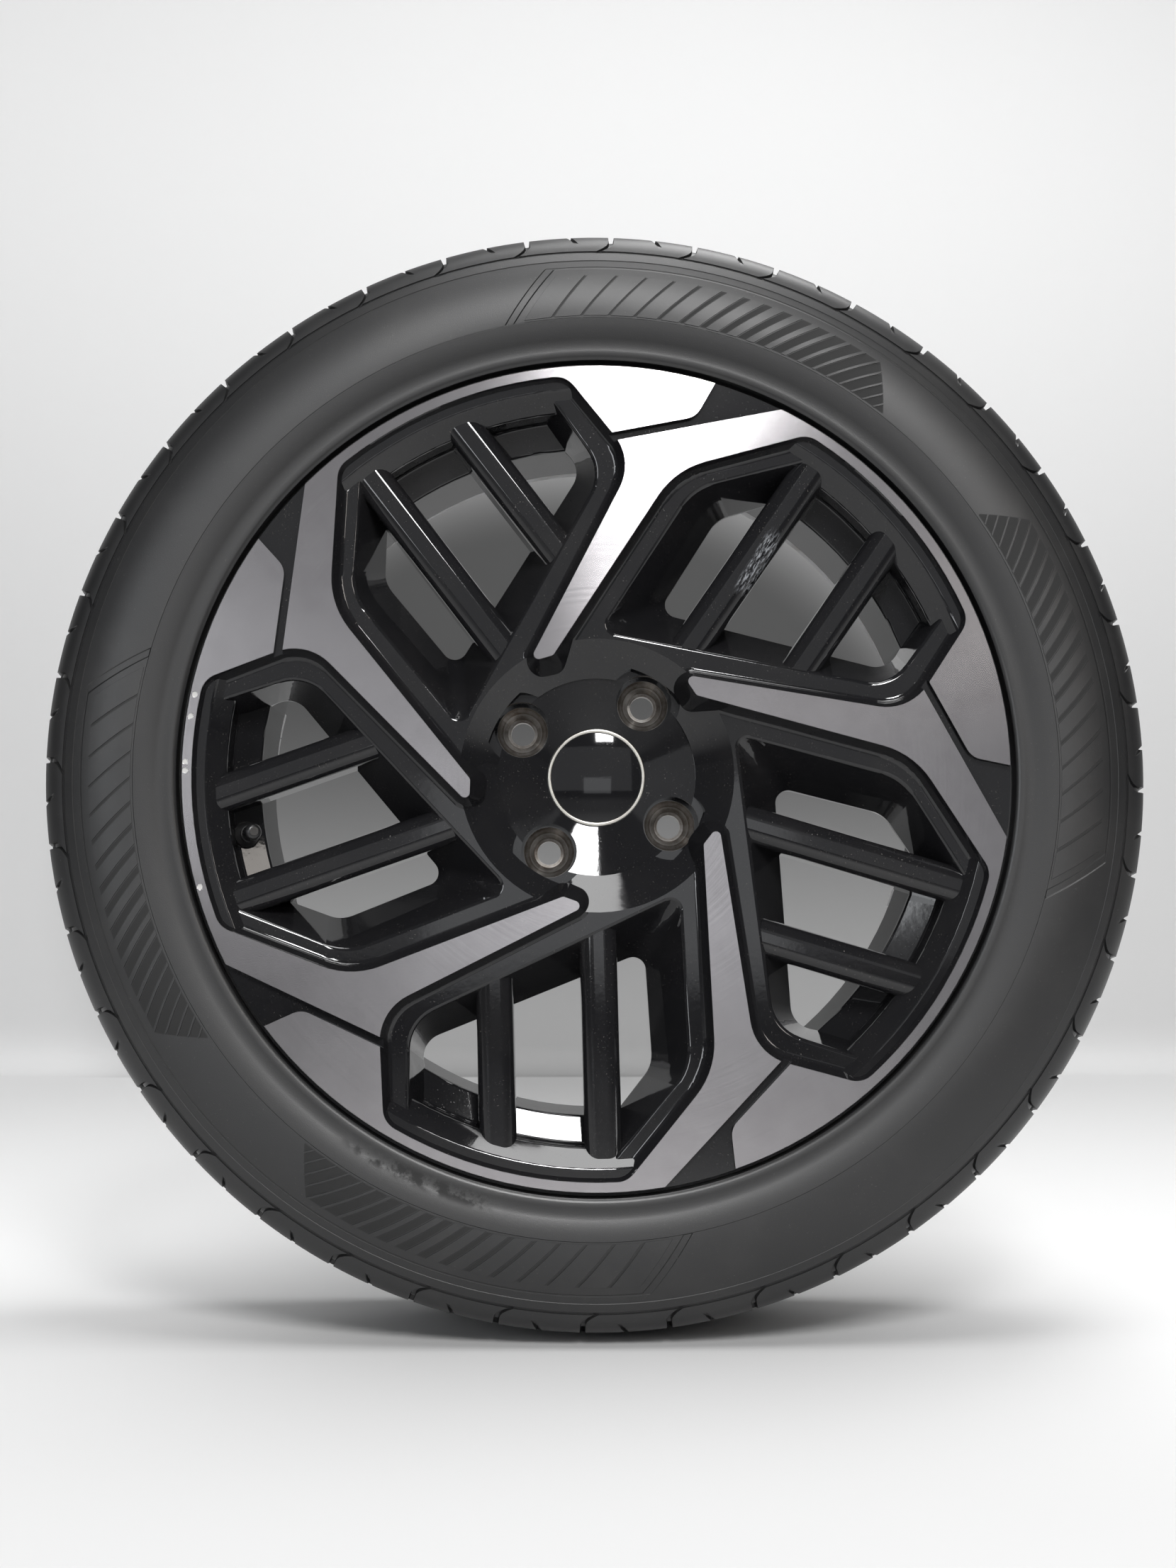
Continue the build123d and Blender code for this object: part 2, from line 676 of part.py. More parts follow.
def shoulder_slot(sign):
    """Slanted slot across the edge of the tread, on +X, down to a fixed depth."""
    edge, foot = shoulder_places(sign)
    depth = shoulder_slot_depth
    corners = [
        (tyre_radius - depth, sign * shoulder_slot_start),
        (edge[0] - depth, edge[1] - sign * depth),
        (foot[0], foot[1] - sign * depth),
        (foot[0], sign * (half_section + past)),
        (tyre_radius + past, sign * (half_section + past)),
        (tyre_radius + past, sign * shoulder_slot_start),
    ]
    face = outline_face([drawn(corner) for corner in corners])
    slot = extrude(face, amount=shoulder_slot_width / 2, both=True)
    pivot = Axis((edge[0], -edge[1], 0), (1, 0, 0))
    return slot.rotate(pivot, sign * shoulder_slot_slant)


# Centre cap: moulded body with snap legs, a bright ring on its edge, a wire spring behind
def centre_cap():
    """Domed cap with its thin edge, and legs that hook behind the lip of the hub."""
    flange_out = cap_seat_out + cap_flange
    dome_radius = cap_diameter / 2 - cap_ring_width - cap_fit
    edge_out = flange_out + cap_dome_edge
    crown_out = edge_out + cap_dome_rise
    leg_radius = cap_lip_diameter / 2 - cap_clearance
    leg_inner = leg_radius - cap_leg_thickness
    dome_sphere = (dome_radius ** 2 + cap_dome_rise ** 2) / (2 * cap_dome_rise)
    edge = Polyline(
        (cap_diameter / 2, -cap_seat_out),
        (cap_diameter / 2, -flange_out),
        (dome_radius, -flange_out),
        (dome_radius, -edge_out),
    )
    dome = RadiusArc((dome_radius, -edge_out), (cap_dome_flat / 2, -crown_out), dome_sphere)
    under = Polyline(
        (cap_dome_flat / 2, -crown_out),
        (0, -crown_out),
        (0, cap_plate - crown_out),
        (leg_inner, -cap_seat_out),
        (cap_diameter / 2, -cap_seat_out),
    )
    shell = revolve(make_face([edge, dome, under]), Axis.Y)
    hook_top = cap_lip_end - cap_hook_gap
    leg = turned([
        (leg_inner, edge_out - cap_plate),
        (leg_radius, cap_seat_out),
        (leg_radius, hook_top),
        (leg_radius + cap_hook, hook_top),
        (leg_radius, hook_top - cap_hook_height),
        (leg_inner, hook_top - cap_hook_height),
    ], cap_leg_angle)
    return shell + around_wheel(leg, cap_leg_count)


def centre_cap_ring():
    """Bright ring pressed round the dome."""
    inner = cap_diameter / 2 - cap_ring_width
    foot = cap_seat_out + cap_flange
    return turned([
        (inner, foot),
        (cap_diameter / 2, foot),
        (cap_diameter / 2, foot + cap_ring_height, cap_ring_round),
        (inner, foot + cap_ring_height, cap_ring_round),
    ])


def centre_cap_spring():
    """Round wire ring that presses the legs outwards."""
    leg_inner = cap_lip_diameter / 2 - cap_clearance - cap_leg_thickness
    wire_radius = leg_inner - cap_fit - cap_spring_wire / 2
    wire_out = cap_lip_end - cap_hook_gap - cap_hook_height / 2
    wire = Pos(wire_radius, -wire_out) * Circle(cap_spring_wire / 2)
    return revolve(wire, Axis.Y)


# Valve: rubber body snapped into the rim, brass stem, core and cap
def valve_body():
    """Rubber body with a bulb inside the tyre, a waist in the hole and a tapered neck."""
    half_wall = barrel_wall / 2
    bulb_top = -half_wall - valve_seat_gap
    shoulder_foot = half_wall + valve_seat_gap
    shoulder_top = shoulder_foot + valve_shoulder_length
    taper_top = shoulder_top + valve_taper_length
    waist = valve_hole_diameter / 2 - valve_fit
    return turned_on(valve_plane(), [
        (stem_diameter / 2, bulb_top - valve_bulb_length),
        (valve_neck_diameter / 2, bulb_top - valve_bulb_length, valve_rubber_round),
        (valve_bulb_diameter / 2, bulb_top, valve_edge_round),
        (waist, bulb_top),
        (waist, shoulder_foot),
        (valve_shoulder_diameter / 2, shoulder_foot, valve_edge_round),
        (valve_shoulder_diameter / 2, shoulder_top, valve_rubber_round),
        (valve_neck_diameter / 2, taper_top, valve_rubber_round),
        (valve_neck_diameter / 2, taper_top + valve_neck_length, valve_edge_round),
        (stem_diameter / 2, taper_top + valve_neck_length),
    ])


def valve_stem():
    """Brass tube moulded into the rubber, with a wider threaded end and a bore for the core."""
    foot = -barrel_wall / 2 - valve_seat_gap - valve_bulb_length
    thread_foot = stem_tip - stem_thread_length
    core_floor = core_foot - core_seal_length
    return turned_on(valve_plane(), [
        (stem_bore / 2, foot),
        (stem_diameter / 2, foot),
        (stem_diameter / 2, thread_foot),
        (stem_thread_diameter / 2, thread_foot),
        (stem_thread_diameter / 2, stem_tip, valve_edge_round),
        (core_diameter / 2, stem_tip),
        (core_diameter / 2, core_floor),
        (stem_bore / 2, core_floor),
    ])


def valve_core():
    """Threaded insert that guides the pin and holds its spring."""
    outer = core_diameter / 2 - core_fit
    guide = pin_diameter / 2 + pin_clearance
    return turned_on(valve_plane(), [
        (guide, core_foot),
        (outer, core_foot),
        (outer, core_top),
        (core_bore / 2, core_top),
        (core_bore / 2, core_foot + core_web),
        (guide, core_foot + core_web),
    ])


def valve_core_seal():
    """Soft ring below the core, on the step of the stem's bore."""
    outer = core_diameter / 2 - core_fit
    guide = pin_diameter / 2 + pin_clearance
    return turned_on(valve_plane(), [
        (guide, core_foot - core_seal_length),
        (outer, core_foot - core_seal_length),
        (outer, core_foot),
        (guide, core_foot),
    ])


def valve_pin():
    """Pin with a collar for the spring and a cup that shuts the bore from inside."""
    tip = stem_tip - pin_tip_depth
    collar_top = tip - pin_collar_depth
    cup_top = core_foot - core_seal_length - pin_clearance
    return turned_on(valve_plane(), [
        (0.0, cup_top - pin_cup_length),
        (pin_cup_diameter / 2, cup_top - pin_cup_length, valve_edge_round),
        (pin_cup_diameter / 2, cup_top),
        (pin_diameter / 2, cup_top),
        (pin_diameter / 2, collar_top - pin_collar_length),
        (pin_collar_diameter / 2, collar_top - pin_collar_length),
        (pin_collar_diameter / 2, collar_top),
        (pin_diameter / 2, collar_top),
        (pin_diameter / 2, tip, valve_edge_round),
        (0.0, tip),
    ])


def valve_spring():
    """Coil spring between the floor of the core and the pin's collar."""
    low = core_foot + core_web + core_spring_gap + core_spring_wire / 2
    collar_foot = stem_tip - pin_tip_depth - pin_collar_depth - pin_collar_length
    high = collar_foot - core_spring_gap - core_spring_wire / 2
    coil_radius = (pin_diameter / 2 + core_bore / 2) / 2
    path = Helix(pitch=(high - low) / core_spring_coils, height=high - low, radius=coil_radius)
    section = Plane(origin=path @ 0, z_dir=path % 0) * Circle(core_spring_wire / 2)
    coil = sweep(section, path=path)
    return valve_plane() * Pos(0, 0, low) * coil


def valve_cap():
    """Screwed cap with a domed end and fine grip flutes."""
    crown_foot = stem_tip + valve_seal_thickness
    end = crown_foot + valve_cap_crown
    foot = end - valve_cap_length
    bore = stem_thread_diameter / 2 + valve_cap_clearance
    cap = turned_on(Plane.XY, [
        (bore, foot),
        (valve_cap_diameter / 2, foot, valve_edge_round),
        (valve_cap_diameter / 2, end, valve_cap_dome),
        (0.0, end),
        (0.0, crown_foot),
        (bore, crown_foot),
    ])
    flutes = []
    for k in range(valve_cap_grip_count):
        place = polar(valve_cap_diameter / 2, 360.0 * k / valve_cap_grip_count)
        flute = Circle(valve_cap_grip_diameter / 2)
        flutes.append(extrude(Pos(place.X, place.Y, foot) * flute, amount=valve_cap_grip_length))
    return valve_plane() * (cap - flutes)


def valve_cap_seal():
    """Soft disc in the end of the cap."""
    radius = stem_thread_diameter / 2 + valve_cap_clearance - valve_seal_clearance
    return turned_on(valve_plane(), [
        (0.0, stem_tip),
        (radius, stem_tip),
        (radius, stem_tip + valve_seal_thickness),
        (0.0, stem_tip + valve_seal_thickness),
    ])


# Balance weights: strips of metal segments on foam tape, inside the rear edge of the barrel
def arc_strip(outer, thickness, rounding, length, middle_angle):
    """Strip that follows the barrel, with rounded inner edges, centred on an angle."""
    low = rear_out + weight_edge_gap
    sweep_angle = length / outer / radians(1.0)
    strip = turned([
        (outer - thickness, low, rounding),
        (outer, low),
        (outer, low + weight_width),
        (outer - thickness, low + weight_width, rounding),
    ], sweep_angle)
    return strip.rotate(Axis.Y, -(middle_angle + sweep_angle / 2))


def weight_strip(angle, count):
    """The tape of one strip, and its row of segments as separate solids."""
    tape_outer = rear_barrel_radius - weight_tape_gap
    metal_outer = tape_outer - weight_tape
    pitch = weight_segment_length + weight_gap
    tape = arc_strip(tape_outer, weight_tape, 0.0, pitch * count - weight_gap, angle)
    segments = []
    for k in range(count):
        turn = (k - (count - 1) / 2) * pitch / metal_outer / radians(1.0)
        block = arc_strip(metal_outer, weight_thickness, weight_round, weight_segment_length, angle + turn)
        segments += block.solids()
    return tape, Compound(children=segments)


nodes = {
    "alloy_wheel": alloy_wheel(),
    "tyre": tyre(),
    "centre_cap": centre_cap(),
    "centre_cap_ring": centre_cap_ring(),
    "centre_cap_spring": centre_cap_spring(),
    "valve_body": valve_body(),
    "valve_stem": valve_stem(),
    "valve_core": valve_core(),
    "valve_core_seal": valve_core_seal(),
    "valve_pin": valve_pin(),
    "valve_spring": valve_spring(),
    "valve_cap": valve_cap(),
    "valve_cap_seal": valve_cap_seal(),
}
for name, angle, count in zip(weight_names, weight_angles, weight_counts):
    nodes["weight_tape_" + name], nodes["balance_weight_" + name] = weight_strip(angle, count)

os.makedirs("parts", exist_ok=True)
for name, piece in nodes.items():
    export_step(piece, "parts/" + name + ".step")
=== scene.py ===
from math import cos, e, pi, radians, sin

import bpy
import numpy as np
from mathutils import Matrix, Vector


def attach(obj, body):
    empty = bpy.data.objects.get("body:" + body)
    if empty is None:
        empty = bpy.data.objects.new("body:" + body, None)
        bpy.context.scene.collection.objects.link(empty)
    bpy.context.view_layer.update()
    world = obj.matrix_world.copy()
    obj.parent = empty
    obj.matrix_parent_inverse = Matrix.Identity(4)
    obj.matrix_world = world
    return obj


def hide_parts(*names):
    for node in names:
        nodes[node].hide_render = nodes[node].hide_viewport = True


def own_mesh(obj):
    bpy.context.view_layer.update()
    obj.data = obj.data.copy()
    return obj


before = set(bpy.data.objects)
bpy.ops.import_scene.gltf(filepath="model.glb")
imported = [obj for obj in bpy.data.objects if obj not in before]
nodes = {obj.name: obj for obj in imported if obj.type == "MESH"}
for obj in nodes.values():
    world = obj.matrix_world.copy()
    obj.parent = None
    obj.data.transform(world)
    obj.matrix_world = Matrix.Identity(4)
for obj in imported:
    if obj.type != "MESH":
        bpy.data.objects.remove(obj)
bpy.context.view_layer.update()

# Stage: a pale floor under the tyre and a pale wall behind it, with painted shade on the floor in
# front of the wheel, a painted shadow of the wheel on the wall, and painted light on both.  One
# lamp hangs overhead, one stands high in front, one on each side, and two faint ones behind the
# camera stand for the room.  The camera stands a little below the wheel's axis and looks slightly
# up at its outer face.
TYRE_RADIUS = 0.34085
EYE = Vector((-0.02657, -1.38997, -0.09494))
LOOK = Vector((0.01610, 0.99753, 0.06839)).normalized()
FOCAL_PIXELS = 3053.5
FRAME_HEIGHT = 2212
SENSOR_WIDTH = 36.0
WALL_Y = 2.4
STAGE_HALF = 8.0
COVE = 0.05
COVE_ROWS = 9
STAGE_PAINT = (0.70, 0.70, 0.70)
STAGE_ROUGH = 0.7
# Painted shade on the floor in front of the wheel, below the front lamps.
PAINTED_FLOOR_SHADE = (0.10, 0.10, 0.10)
PAINTED_FLOOR_SHADE_SPAN = (-1.6, -0.5)
# Painted shadow of the wheel on the wall behind it: darker paint near the axis, darker higher up.
PAINTED_WALL_SHADOW = ((0.46, 0.46, 0.46), (0.08, 0.08, 0.08))
PAINTED_WALL_SHADOW_REACH = (0.60, 0.95)
PAINTED_WALL_SHADOW_HEIGHTS = (-0.30, 0.35)
# Painted light: a glow that the camera and mirrors see on the floor beside the wheel, none right
# under it, rising up the wall.
FLOOR_GLOW = 0.26
FLOOR_GLOW_ASIDE = (0.08, 0.36)
FLOOR_GLOW_BACK = (-0.55, 0.1)
WALL_GLOW = (0.13, 0.24)
WALL_GLOW_START = (-TYRE_RADIUS, 0.1 - TYRE_RADIUS)
WALL_GLOW_RISE = (0.1, 1.5)
ROOM_TINT = (0.92, 0.94, 0.96)
ROOM_STRENGTH = 0.06

scene = bpy.context.scene
scene.view_settings.view_transform = "Standard"


def new_mesh_object(name, points, faces):
    """Smooth mesh object at the origin from an (n, 3) array of points and an (m, k) array of
    corners."""
    mesh = bpy.data.meshes.new(name)
    mesh.from_pydata(points.tolist(), [], faces.tolist())
    mesh.polygons.foreach_set("use_smooth", np.full(len(faces), True))
    mesh.update()
    piece = bpy.data.objects.new(name, mesh)
    scene.collection.objects.link(piece)
    return piece


def grid_faces(rows, columns, close_rows, close_columns):
    """Corner numbers of the quads of a grid whose points are stored row by row."""
    row = np.arange(rows if close_rows else rows - 1)[:, None]
    column = np.arange(columns if close_columns else columns - 1)[None, :]
    next_row = (row + 1) % rows
    next_column = (column + 1) % columns
    quads = np.stack(
        [
            row * columns + column,
            row * columns + next_column,
            next_row * columns + next_column,
            next_row * columns + column,
        ],
        axis=-1,
    )
    return quads.reshape(-1, 4)


camera_data = bpy.data.cameras.new("camera")
camera_data.sensor_width = SENSOR_WIDTH
camera_data.lens = FOCAL_PIXELS * SENSOR_WIDTH / FRAME_HEIGHT
camera = bpy.data.objects.new("camera", camera_data)
scene.collection.objects.link(camera)
camera.location = EYE
camera.rotation_euler = LOOK.to_track_quat("-Z", "Y").to_euler()
scene.camera = camera


def stage_sheet():
    """Floor and wall in one sheet: straight floor, a quarter circle, straight wall, the same
    section all along X."""
    turn = np.linspace(0.0, pi / 2, COVE_ROWS)
    floor_z = -TYRE_RADIUS
    y = np.concatenate([[-STAGE_HALF], WALL_Y - COVE + COVE * np.sin(turn), [WALL_Y]])
    z = np.concatenate([[floor_z], floor_z + COVE - COVE * np.cos(turn), [STAGE_HALF]])
    x = np.array([-STAGE_HALF, STAGE_HALF])
    points = np.stack(np.broadcast_arrays(x[None, :], y[:, None], z[:, None]), axis=-1)
    faces = grid_faces(len(y), len(x), False, False)
    return new_mesh_object("stage_sheet", points.reshape(-1, 3), faces)


def new_material(name, base, roughness, metallic=0.0):
    """Material with one Principled shader, its node tree and the shader itself."""
    material = bpy.data.materials.new(name)
    material.use_nodes = True
    tree = material.node_tree
    shader = tree.nodes["Principled BSDF"]
    shader.inputs["Base Color"].default_value = (*base, 1.0)
    shader.inputs["Roughness"].default_value = roughness
    shader.inputs["Metallic"].default_value = metallic
    return material, tree, shader


def feed(tree, socket, value):
    """Links another node's output to a socket, or sets the socket to a number or a colour."""
    if isinstance(value, bpy.types.NodeSocket):
        tree.links.new(value, socket)
    else:
        socket.default_value = (*value, 1.0) if isinstance(value, tuple) else value


def math_node(tree, operation, *values):
    """Output of a Math node, its inputs set to numbers or linked to other nodes' outputs."""
    node = tree.nodes.new("ShaderNodeMath")
    node.operation = operation
    for socket, value in zip(node.inputs, values):
        feed(tree, socket, value)
    return node.outputs[0]


def times(tree, product, *factors):
    """Product of two or more numbers or outputs."""
    for factor in factors:
        product = math_node(tree, "MULTIPLY", product, factor)
    return product


def span(tree, first, second):
    """Length of a flat step with two square sides."""
    squares = math_node(tree, "ADD", times(tree, first, first), times(tree, second, second))
    return math_node(tree, "SQRT", squares)


def soft_step(tree, value, low, high, start=0.0, end=1.0):
    """Smooth change from start to end while a value goes from low to high."""
    node = tree.nodes.new("ShaderNodeMapRange")
    node.interpolation_type = "SMOOTHSTEP"
    names = ("Value", "From Min", "From Max", "To Min", "To Max")
    for name, number in zip(names, (value, low, high, start, end)):
        feed(tree, node.inputs[name], number)
    return node.outputs["Result"]


def mixed(tree, factor, first, second):
    """Colour between two colours, each given as numbers or linked."""
    node = tree.nodes.new("ShaderNodeMix")
    node.data_type = "RGBA"
    for number, value in ((0, factor), (6, first), (7, second)):
        feed(tree, node.inputs[number], value)
    return node.outputs[2]


def object_place(tree):
    """Object coordinates."""
    return tree.nodes.new("ShaderNodeTexCoord").outputs["Object"]


def object_xyz(tree):
    """The three parts of the Object coordinates."""
    split = tree.nodes.new("ShaderNodeSeparateXYZ")
    tree.links.new(object_place(tree), split.inputs[0])
    return split.outputs


def stage_finish():
    """Pale matt paint, which the camera and mirrors see a little paler than its light makes it, as
    painted light: beside the wheel on the floor, and more and more up the wall.  The paint is
    darker below the front lamps, where the floor gets the most light, as painted shade, and on the
    wall behind the windows, as a painted shadow of the wheel, darker higher up."""
    material, tree, shader = new_material("stage_paint", STAGE_PAINT, STAGE_ROUGH)
    aside, back, height = object_xyz(tree)
    # Painted shade on the floor in front of the wheel, below the front lamps.
    paint = mixed(tree, soft_step(tree, back, *PAINTED_FLOOR_SHADE_SPAN), PAINTED_FLOOR_SHADE, STAGE_PAINT)
    # Painted shadow of the wheel on the wall behind it, darker higher up.
    shade = times(tree, soft_step(tree, span(tree, aside, height), *PAINTED_WALL_SHADOW_REACH, 1.0, 0.0),
                  soft_step(tree, back, WALL_Y - 2 * COVE, WALL_Y - COVE))
    painted_shadow_colour = mixed(tree, soft_step(tree, height, *PAINTED_WALL_SHADOW_HEIGHTS), *PAINTED_WALL_SHADOW)
    tree.links.new(mixed(tree, shade, paint, painted_shadow_colour), shader.inputs["Base Color"])
    path = tree.nodes.new("ShaderNodeLightPath").outputs
    seen = math_node(tree, "ADD", path["Is Camera Ray"], path["Is Glossy Ray"])
    seen = math_node(tree, "ADD", seen, path["Is Transmission Ray"])
    # Painted light: a glow for the camera and mirrors, none right under the wheel.
    beside = soft_step(tree, math_node(tree, "ABSOLUTE", aside), *FLOOR_GLOW_ASIDE)
    floor_glow = times(tree, beside, soft_step(tree, back, *FLOOR_GLOW_BACK, 0.0, FLOOR_GLOW))
    low = soft_step(tree, height, *WALL_GLOW_START, floor_glow, WALL_GLOW[0])
    high = soft_step(tree, height, *WALL_GLOW_RISE, 0.0, WALL_GLOW[1])
    glow = times(tree, math_node(tree, "MINIMUM", seen, 1.0), math_node(tree, "ADD", low, high),
                 math_node(tree, "SUBTRACT", 1.0, shade))
    tree.links.new(glow, shader.inputs["Emission Strength"])
    shader.inputs["Emission Color"].default_value = (1.0, 1.0, 1.0, 1.0)
    return material


floor = stage_sheet()
floor.data.materials.append(stage_finish())


def soft_lamp(name, place, target, size, power, tint=(1.0, 1.0, 1.0)):
    """Rectangular area lamp at a place, turned to a target and hidden from the camera."""
    data = bpy.data.lights.new(name, "AREA")
    data.shape = "RECTANGLE"
    data.size, data.size_y = size
    data.energy = power
    data.color = tint
    lamp = bpy.data.objects.new(name, data)
    scene.collection.objects.link(lamp)
    lamp.location = place
    lamp.rotation_euler = (Vector(target) - Vector(place)).to_track_quat("-Z", "Y").to_euler()
    lamp.visible_camera = False


soft_lamp("lamp_front", place=(0.25, -2.6, 1.55), target=(0.0, 0.0, 0.0),
          size=(0.45, 0.9), power=60.0)
soft_lamp("lamp_overhead", place=(0.35, -0.05, 2.2), target=(0.0, 0.1, 0.0),
          size=(2.2, 0.9), power=52.0)
soft_lamp("lamp_left", place=(-1.5, -2.6, 0.40), target=(0.0, 0.0, 0.0),
          size=(0.6, 1.1), power=14.0, tint=(0.94, 0.97, 1.0))
soft_lamp("lamp_right", place=(1.5, -2.6, 0.85), target=(0.0, 0.0, 0.0),
          size=(0.5, 0.7), power=7.0, tint=(1.0, 0.94, 0.88))
soft_lamp("lamp_room", place=(-0.2, -3.2, 0.50), target=(-0.2, 0.0, 0.50),
          size=(2.6, 1.3), power=4.2, tint=(0.97, 0.98, 1.0))
soft_lamp("lamp_near_camera", place=(0.08, -2.9, 0.0), target=(0.08, 0.0, 0.0),
          size=(0.7, 0.4), power=0.9, tint=(0.95, 0.97, 1.0))
world = bpy.data.worlds.new("room")
world.use_nodes = True
room = world.node_tree.nodes["Background"].inputs
room["Color"].default_value = (*ROOM_TINT, 1.0)
room["Strength"].default_value = ROOM_STRENGTH
scene.world = world

# Alloy wheel: one aluminium casting, painted gloss black all over, then its face turned bare on
# a lathe and lacquered.  The bolt seats are worn bare, and the back of the barrel is left grey.
TURNED_METAL = (0.43, 0.415, 0.425)
TURNED_SHADE = (0.36, 0.345, 0.355)
PAINT_BLACK = (0.010, 0.010, 0.011)
CAST_GREY = (0.40, 0.40, 0.41)
SEAT_METAL = (0.40, 0.385, 0.365)
SEAT_GRIME = (0.13, 0.105, 0.085)
ROAD_DUST = (0.20, 0.185, 0.165)
FACE_OUT = (0.09515, 0.09545)
BACK_RADIUS = (0.195, 0.200)
BACK_OUT = (-0.056, -0.062)
BOLT_RADIUS = 0.054
BOLT_PHASE = 57.5
BOLT_STEP = 90.0
SEAT_RADIUS = (0.0153, 0.0158)
SEAT_OUT = (0.0505, 0.0500)
NICK_WHITE = (0.72, 0.71, 0.69)
NICKS = ((0.2459, 168.9), (0.2461, 172.0), (0.2468, 178.4), (0.2467, 179.6), (0.2465, 196.0))
NICK_SIZE = 0.0019
NICK_EDGE = (1.5 * NICK_SIZE, 1.2 * NICK_SIZE)
NICK_OUT = (0.090, 0.092)
NICK_DIP = -20.0
SCUFF_WHITE = (0.27, 0.28, 0.30)
SCUFF_LEAN = radians(58.65)
SCUFF_STRETCH = 0.22
PAINT_ROUGH = 0.055
DIRT_ROUGH = 0.5
BARE_ROUGH = 0.45
FACE_ROUGH = (0.17, 0.22)
NICK_ROUGH = 0.55
LATHE_ANISOTROPY = 0.75
LATHE_RANGE = (0.3, 0.7)
LATHE_WEAR = 0.9
STAIN_WEAR = 0.35
WEAR_RANGE = (0.2, 1.0)
GRIME_BASE = 0.35
GRIME_RANGE = (0.28, 0.56)
ALLOY_BUMP = 0.000012
# Bands: low edge, high edge and softness.
SCUFF_ALONG = (0.143, 0.181, 0.006)
SCUFF_ACROSS = (-0.0205, -0.0118, 0.0015)
SCUFF_OUT = (0.074, 0.0862, 0.001)
# Grains: grains per metre, detail and roughness.
NICK_GRAIN = (900.0, 3.0, 0.6)
SEAT_RINGS = (900.0, 3.0, 0.7)
SEAT_STAIN = (90.0, 4.0, 0.7)
LATHE_LINES = (520.0, 5.0, 0.75)
PAINT_PEEL = (260.0, 2.0, 0.5)
METAL_PITS = (1400.0, 2.0, 0.6)
# Blotches: a grain, and the noise levels at which a blotch begins and is full.
DUST_CLOUDS = (14.0, 5.0, 0.65, 0.42, 0.75)
DUST_SPECKS = (950.0, 2.0, 0.5, 0.66, 0.76)
DUST_PATCHES = (45.0, 3.0, 0.6, 0.35, 0.7)
SCUFF_STREAKS = (800.0, 4.0, 0.7, 0.44, 0.66)
BACK_FILM = (30.0, 5.0, 0.7, 0.45, 0.8)
FACE_STAIN = (38.0, 5.0, 0.6, 0.3, 0.8)


def band(tree, value, low, high, soft):
    """One between low and high, nothing outside, with soft edges."""
    rise = soft_step(tree, value, low - soft, low + soft)
    fall = soft_step(tree, value, high - soft, high + soft, 1.0, 0.0)
    return times(tree, rise, fall)


def noise(tree, vector, scale, detail, roughness):
    """Noise between nothing and one over a vector, at a number of grains per metre."""
    node = tree.nodes.new("ShaderNodeTexNoise")
    node.inputs["Scale"].default_value = scale
    node.inputs["Detail"].default_value = detail
    node.inputs["Roughness"].default_value = roughness
    tree.links.new(vector, node.inputs["Vector"])
    return node.outputs["Fac"]


def blotches(tree, vector, scale, detail, roughness, low, high):
    """Noise over a vector, stretched so that low becomes nothing and high becomes one."""
    return soft_step(tree, noise(tree, vector, scale, detail, roughness), low, high)


def blended(tree, factor, first, second):
    """Number between two numbers, each given or linked."""
    node = tree.nodes.new("ShaderNodeMix")
    for number, value in ((0, factor), (2, first), (3, second)):
        feed(tree, node.inputs[number], value)
    return node.outputs[0]


def vector_of(tree, *parts):
    """Vector put together from up to three numbers or outputs."""
    node = tree.nodes.new("ShaderNodeCombineXYZ")
    for socket, part in zip(node.inputs, parts):
        feed(tree, socket, part)
    return node.outputs[0]


def turned_from(tree, angle, start, step):
    """Angle in degrees from the nearest of the places that lie a step apart from a start."""
    turn = math_node(tree, "SUBTRACT", angle, start)
    return math_node(tree, "WRAP", turn, step / 2, -step / 2)


def bump(tree, height, distance):
    """Normal from a height that is one at a distance in metres."""
    node = tree.nodes.new("ShaderNodeBump")
    node.inputs["Distance"].default_value = distance
    tree.links.new(height, node.inputs["Height"])
    return node.outputs["Normal"]


def new_group(name, inputs, outputs):
    """Empty shader group with named number inputs and named number outputs."""
    group = bpy.data.node_groups.new(name, "ShaderNodeTree")
    for label in inputs:
        group.interface.new_socket(label, in_out="INPUT", socket_type="NodeSocketFloat")
    for label in outputs:
        group.interface.new_socket(label, in_out="OUTPUT", socket_type="NodeSocketFloat")
    return group, group.nodes.new("NodeGroupInput"), group.nodes.new("NodeGroupOutput")


def use_group(tree, group, **values):
    """Node that places a shader group, with its inputs set."""
    node = tree.nodes.new("ShaderNodeGroup")
    node.node_tree = group
    for name, value in values.items():
        node.inputs[name].default_value = value
    return node


def place_group():
    """Where a point of the wheel is: its distance from the axis, its angle in degrees from +X
    towards +Z, and its distance outboard of the middle plane."""
    group, _, result = new_group("wheel_places", [], ["Radius", "Angle", "Out"])
    x, y, z = object_xyz(group)
    angle = math_node(group, "DEGREES", math_node(group, "ARCTAN2", z, x))
    group.links.new(span(group, x, z), result.inputs["Radius"])
    group.links.new(angle, result.inputs["Angle"])
    group.links.new(times(group, y, -1.0), result.inputs["Out"])
    return group


def dust_group():
    """Dust and road film: a mask of soft clouds broken by fine specks, which lie in patches."""
    group, given, result = new_group("road_dust", ["Clouds", "Specks"], ["Dust"])
    spot = object_place(group)
    clouds = times(group, blotches(group, spot, *DUST_CLOUDS), given.outputs["Clouds"])
    specks = times(group, blotches(group, spot, *DUST_SPECKS),
                   blotches(group, spot, *DUST_PATCHES), given.outputs["Specks"])
    total = math_node(group, "ADD", clouds, specks)
    group.links.new(math_node(group, "MINIMUM", total, 1.0), result.inputs["Dust"])
    return group


WHEEL_PLACES = place_group()
ROAD_DUST_GROUP = dust_group()


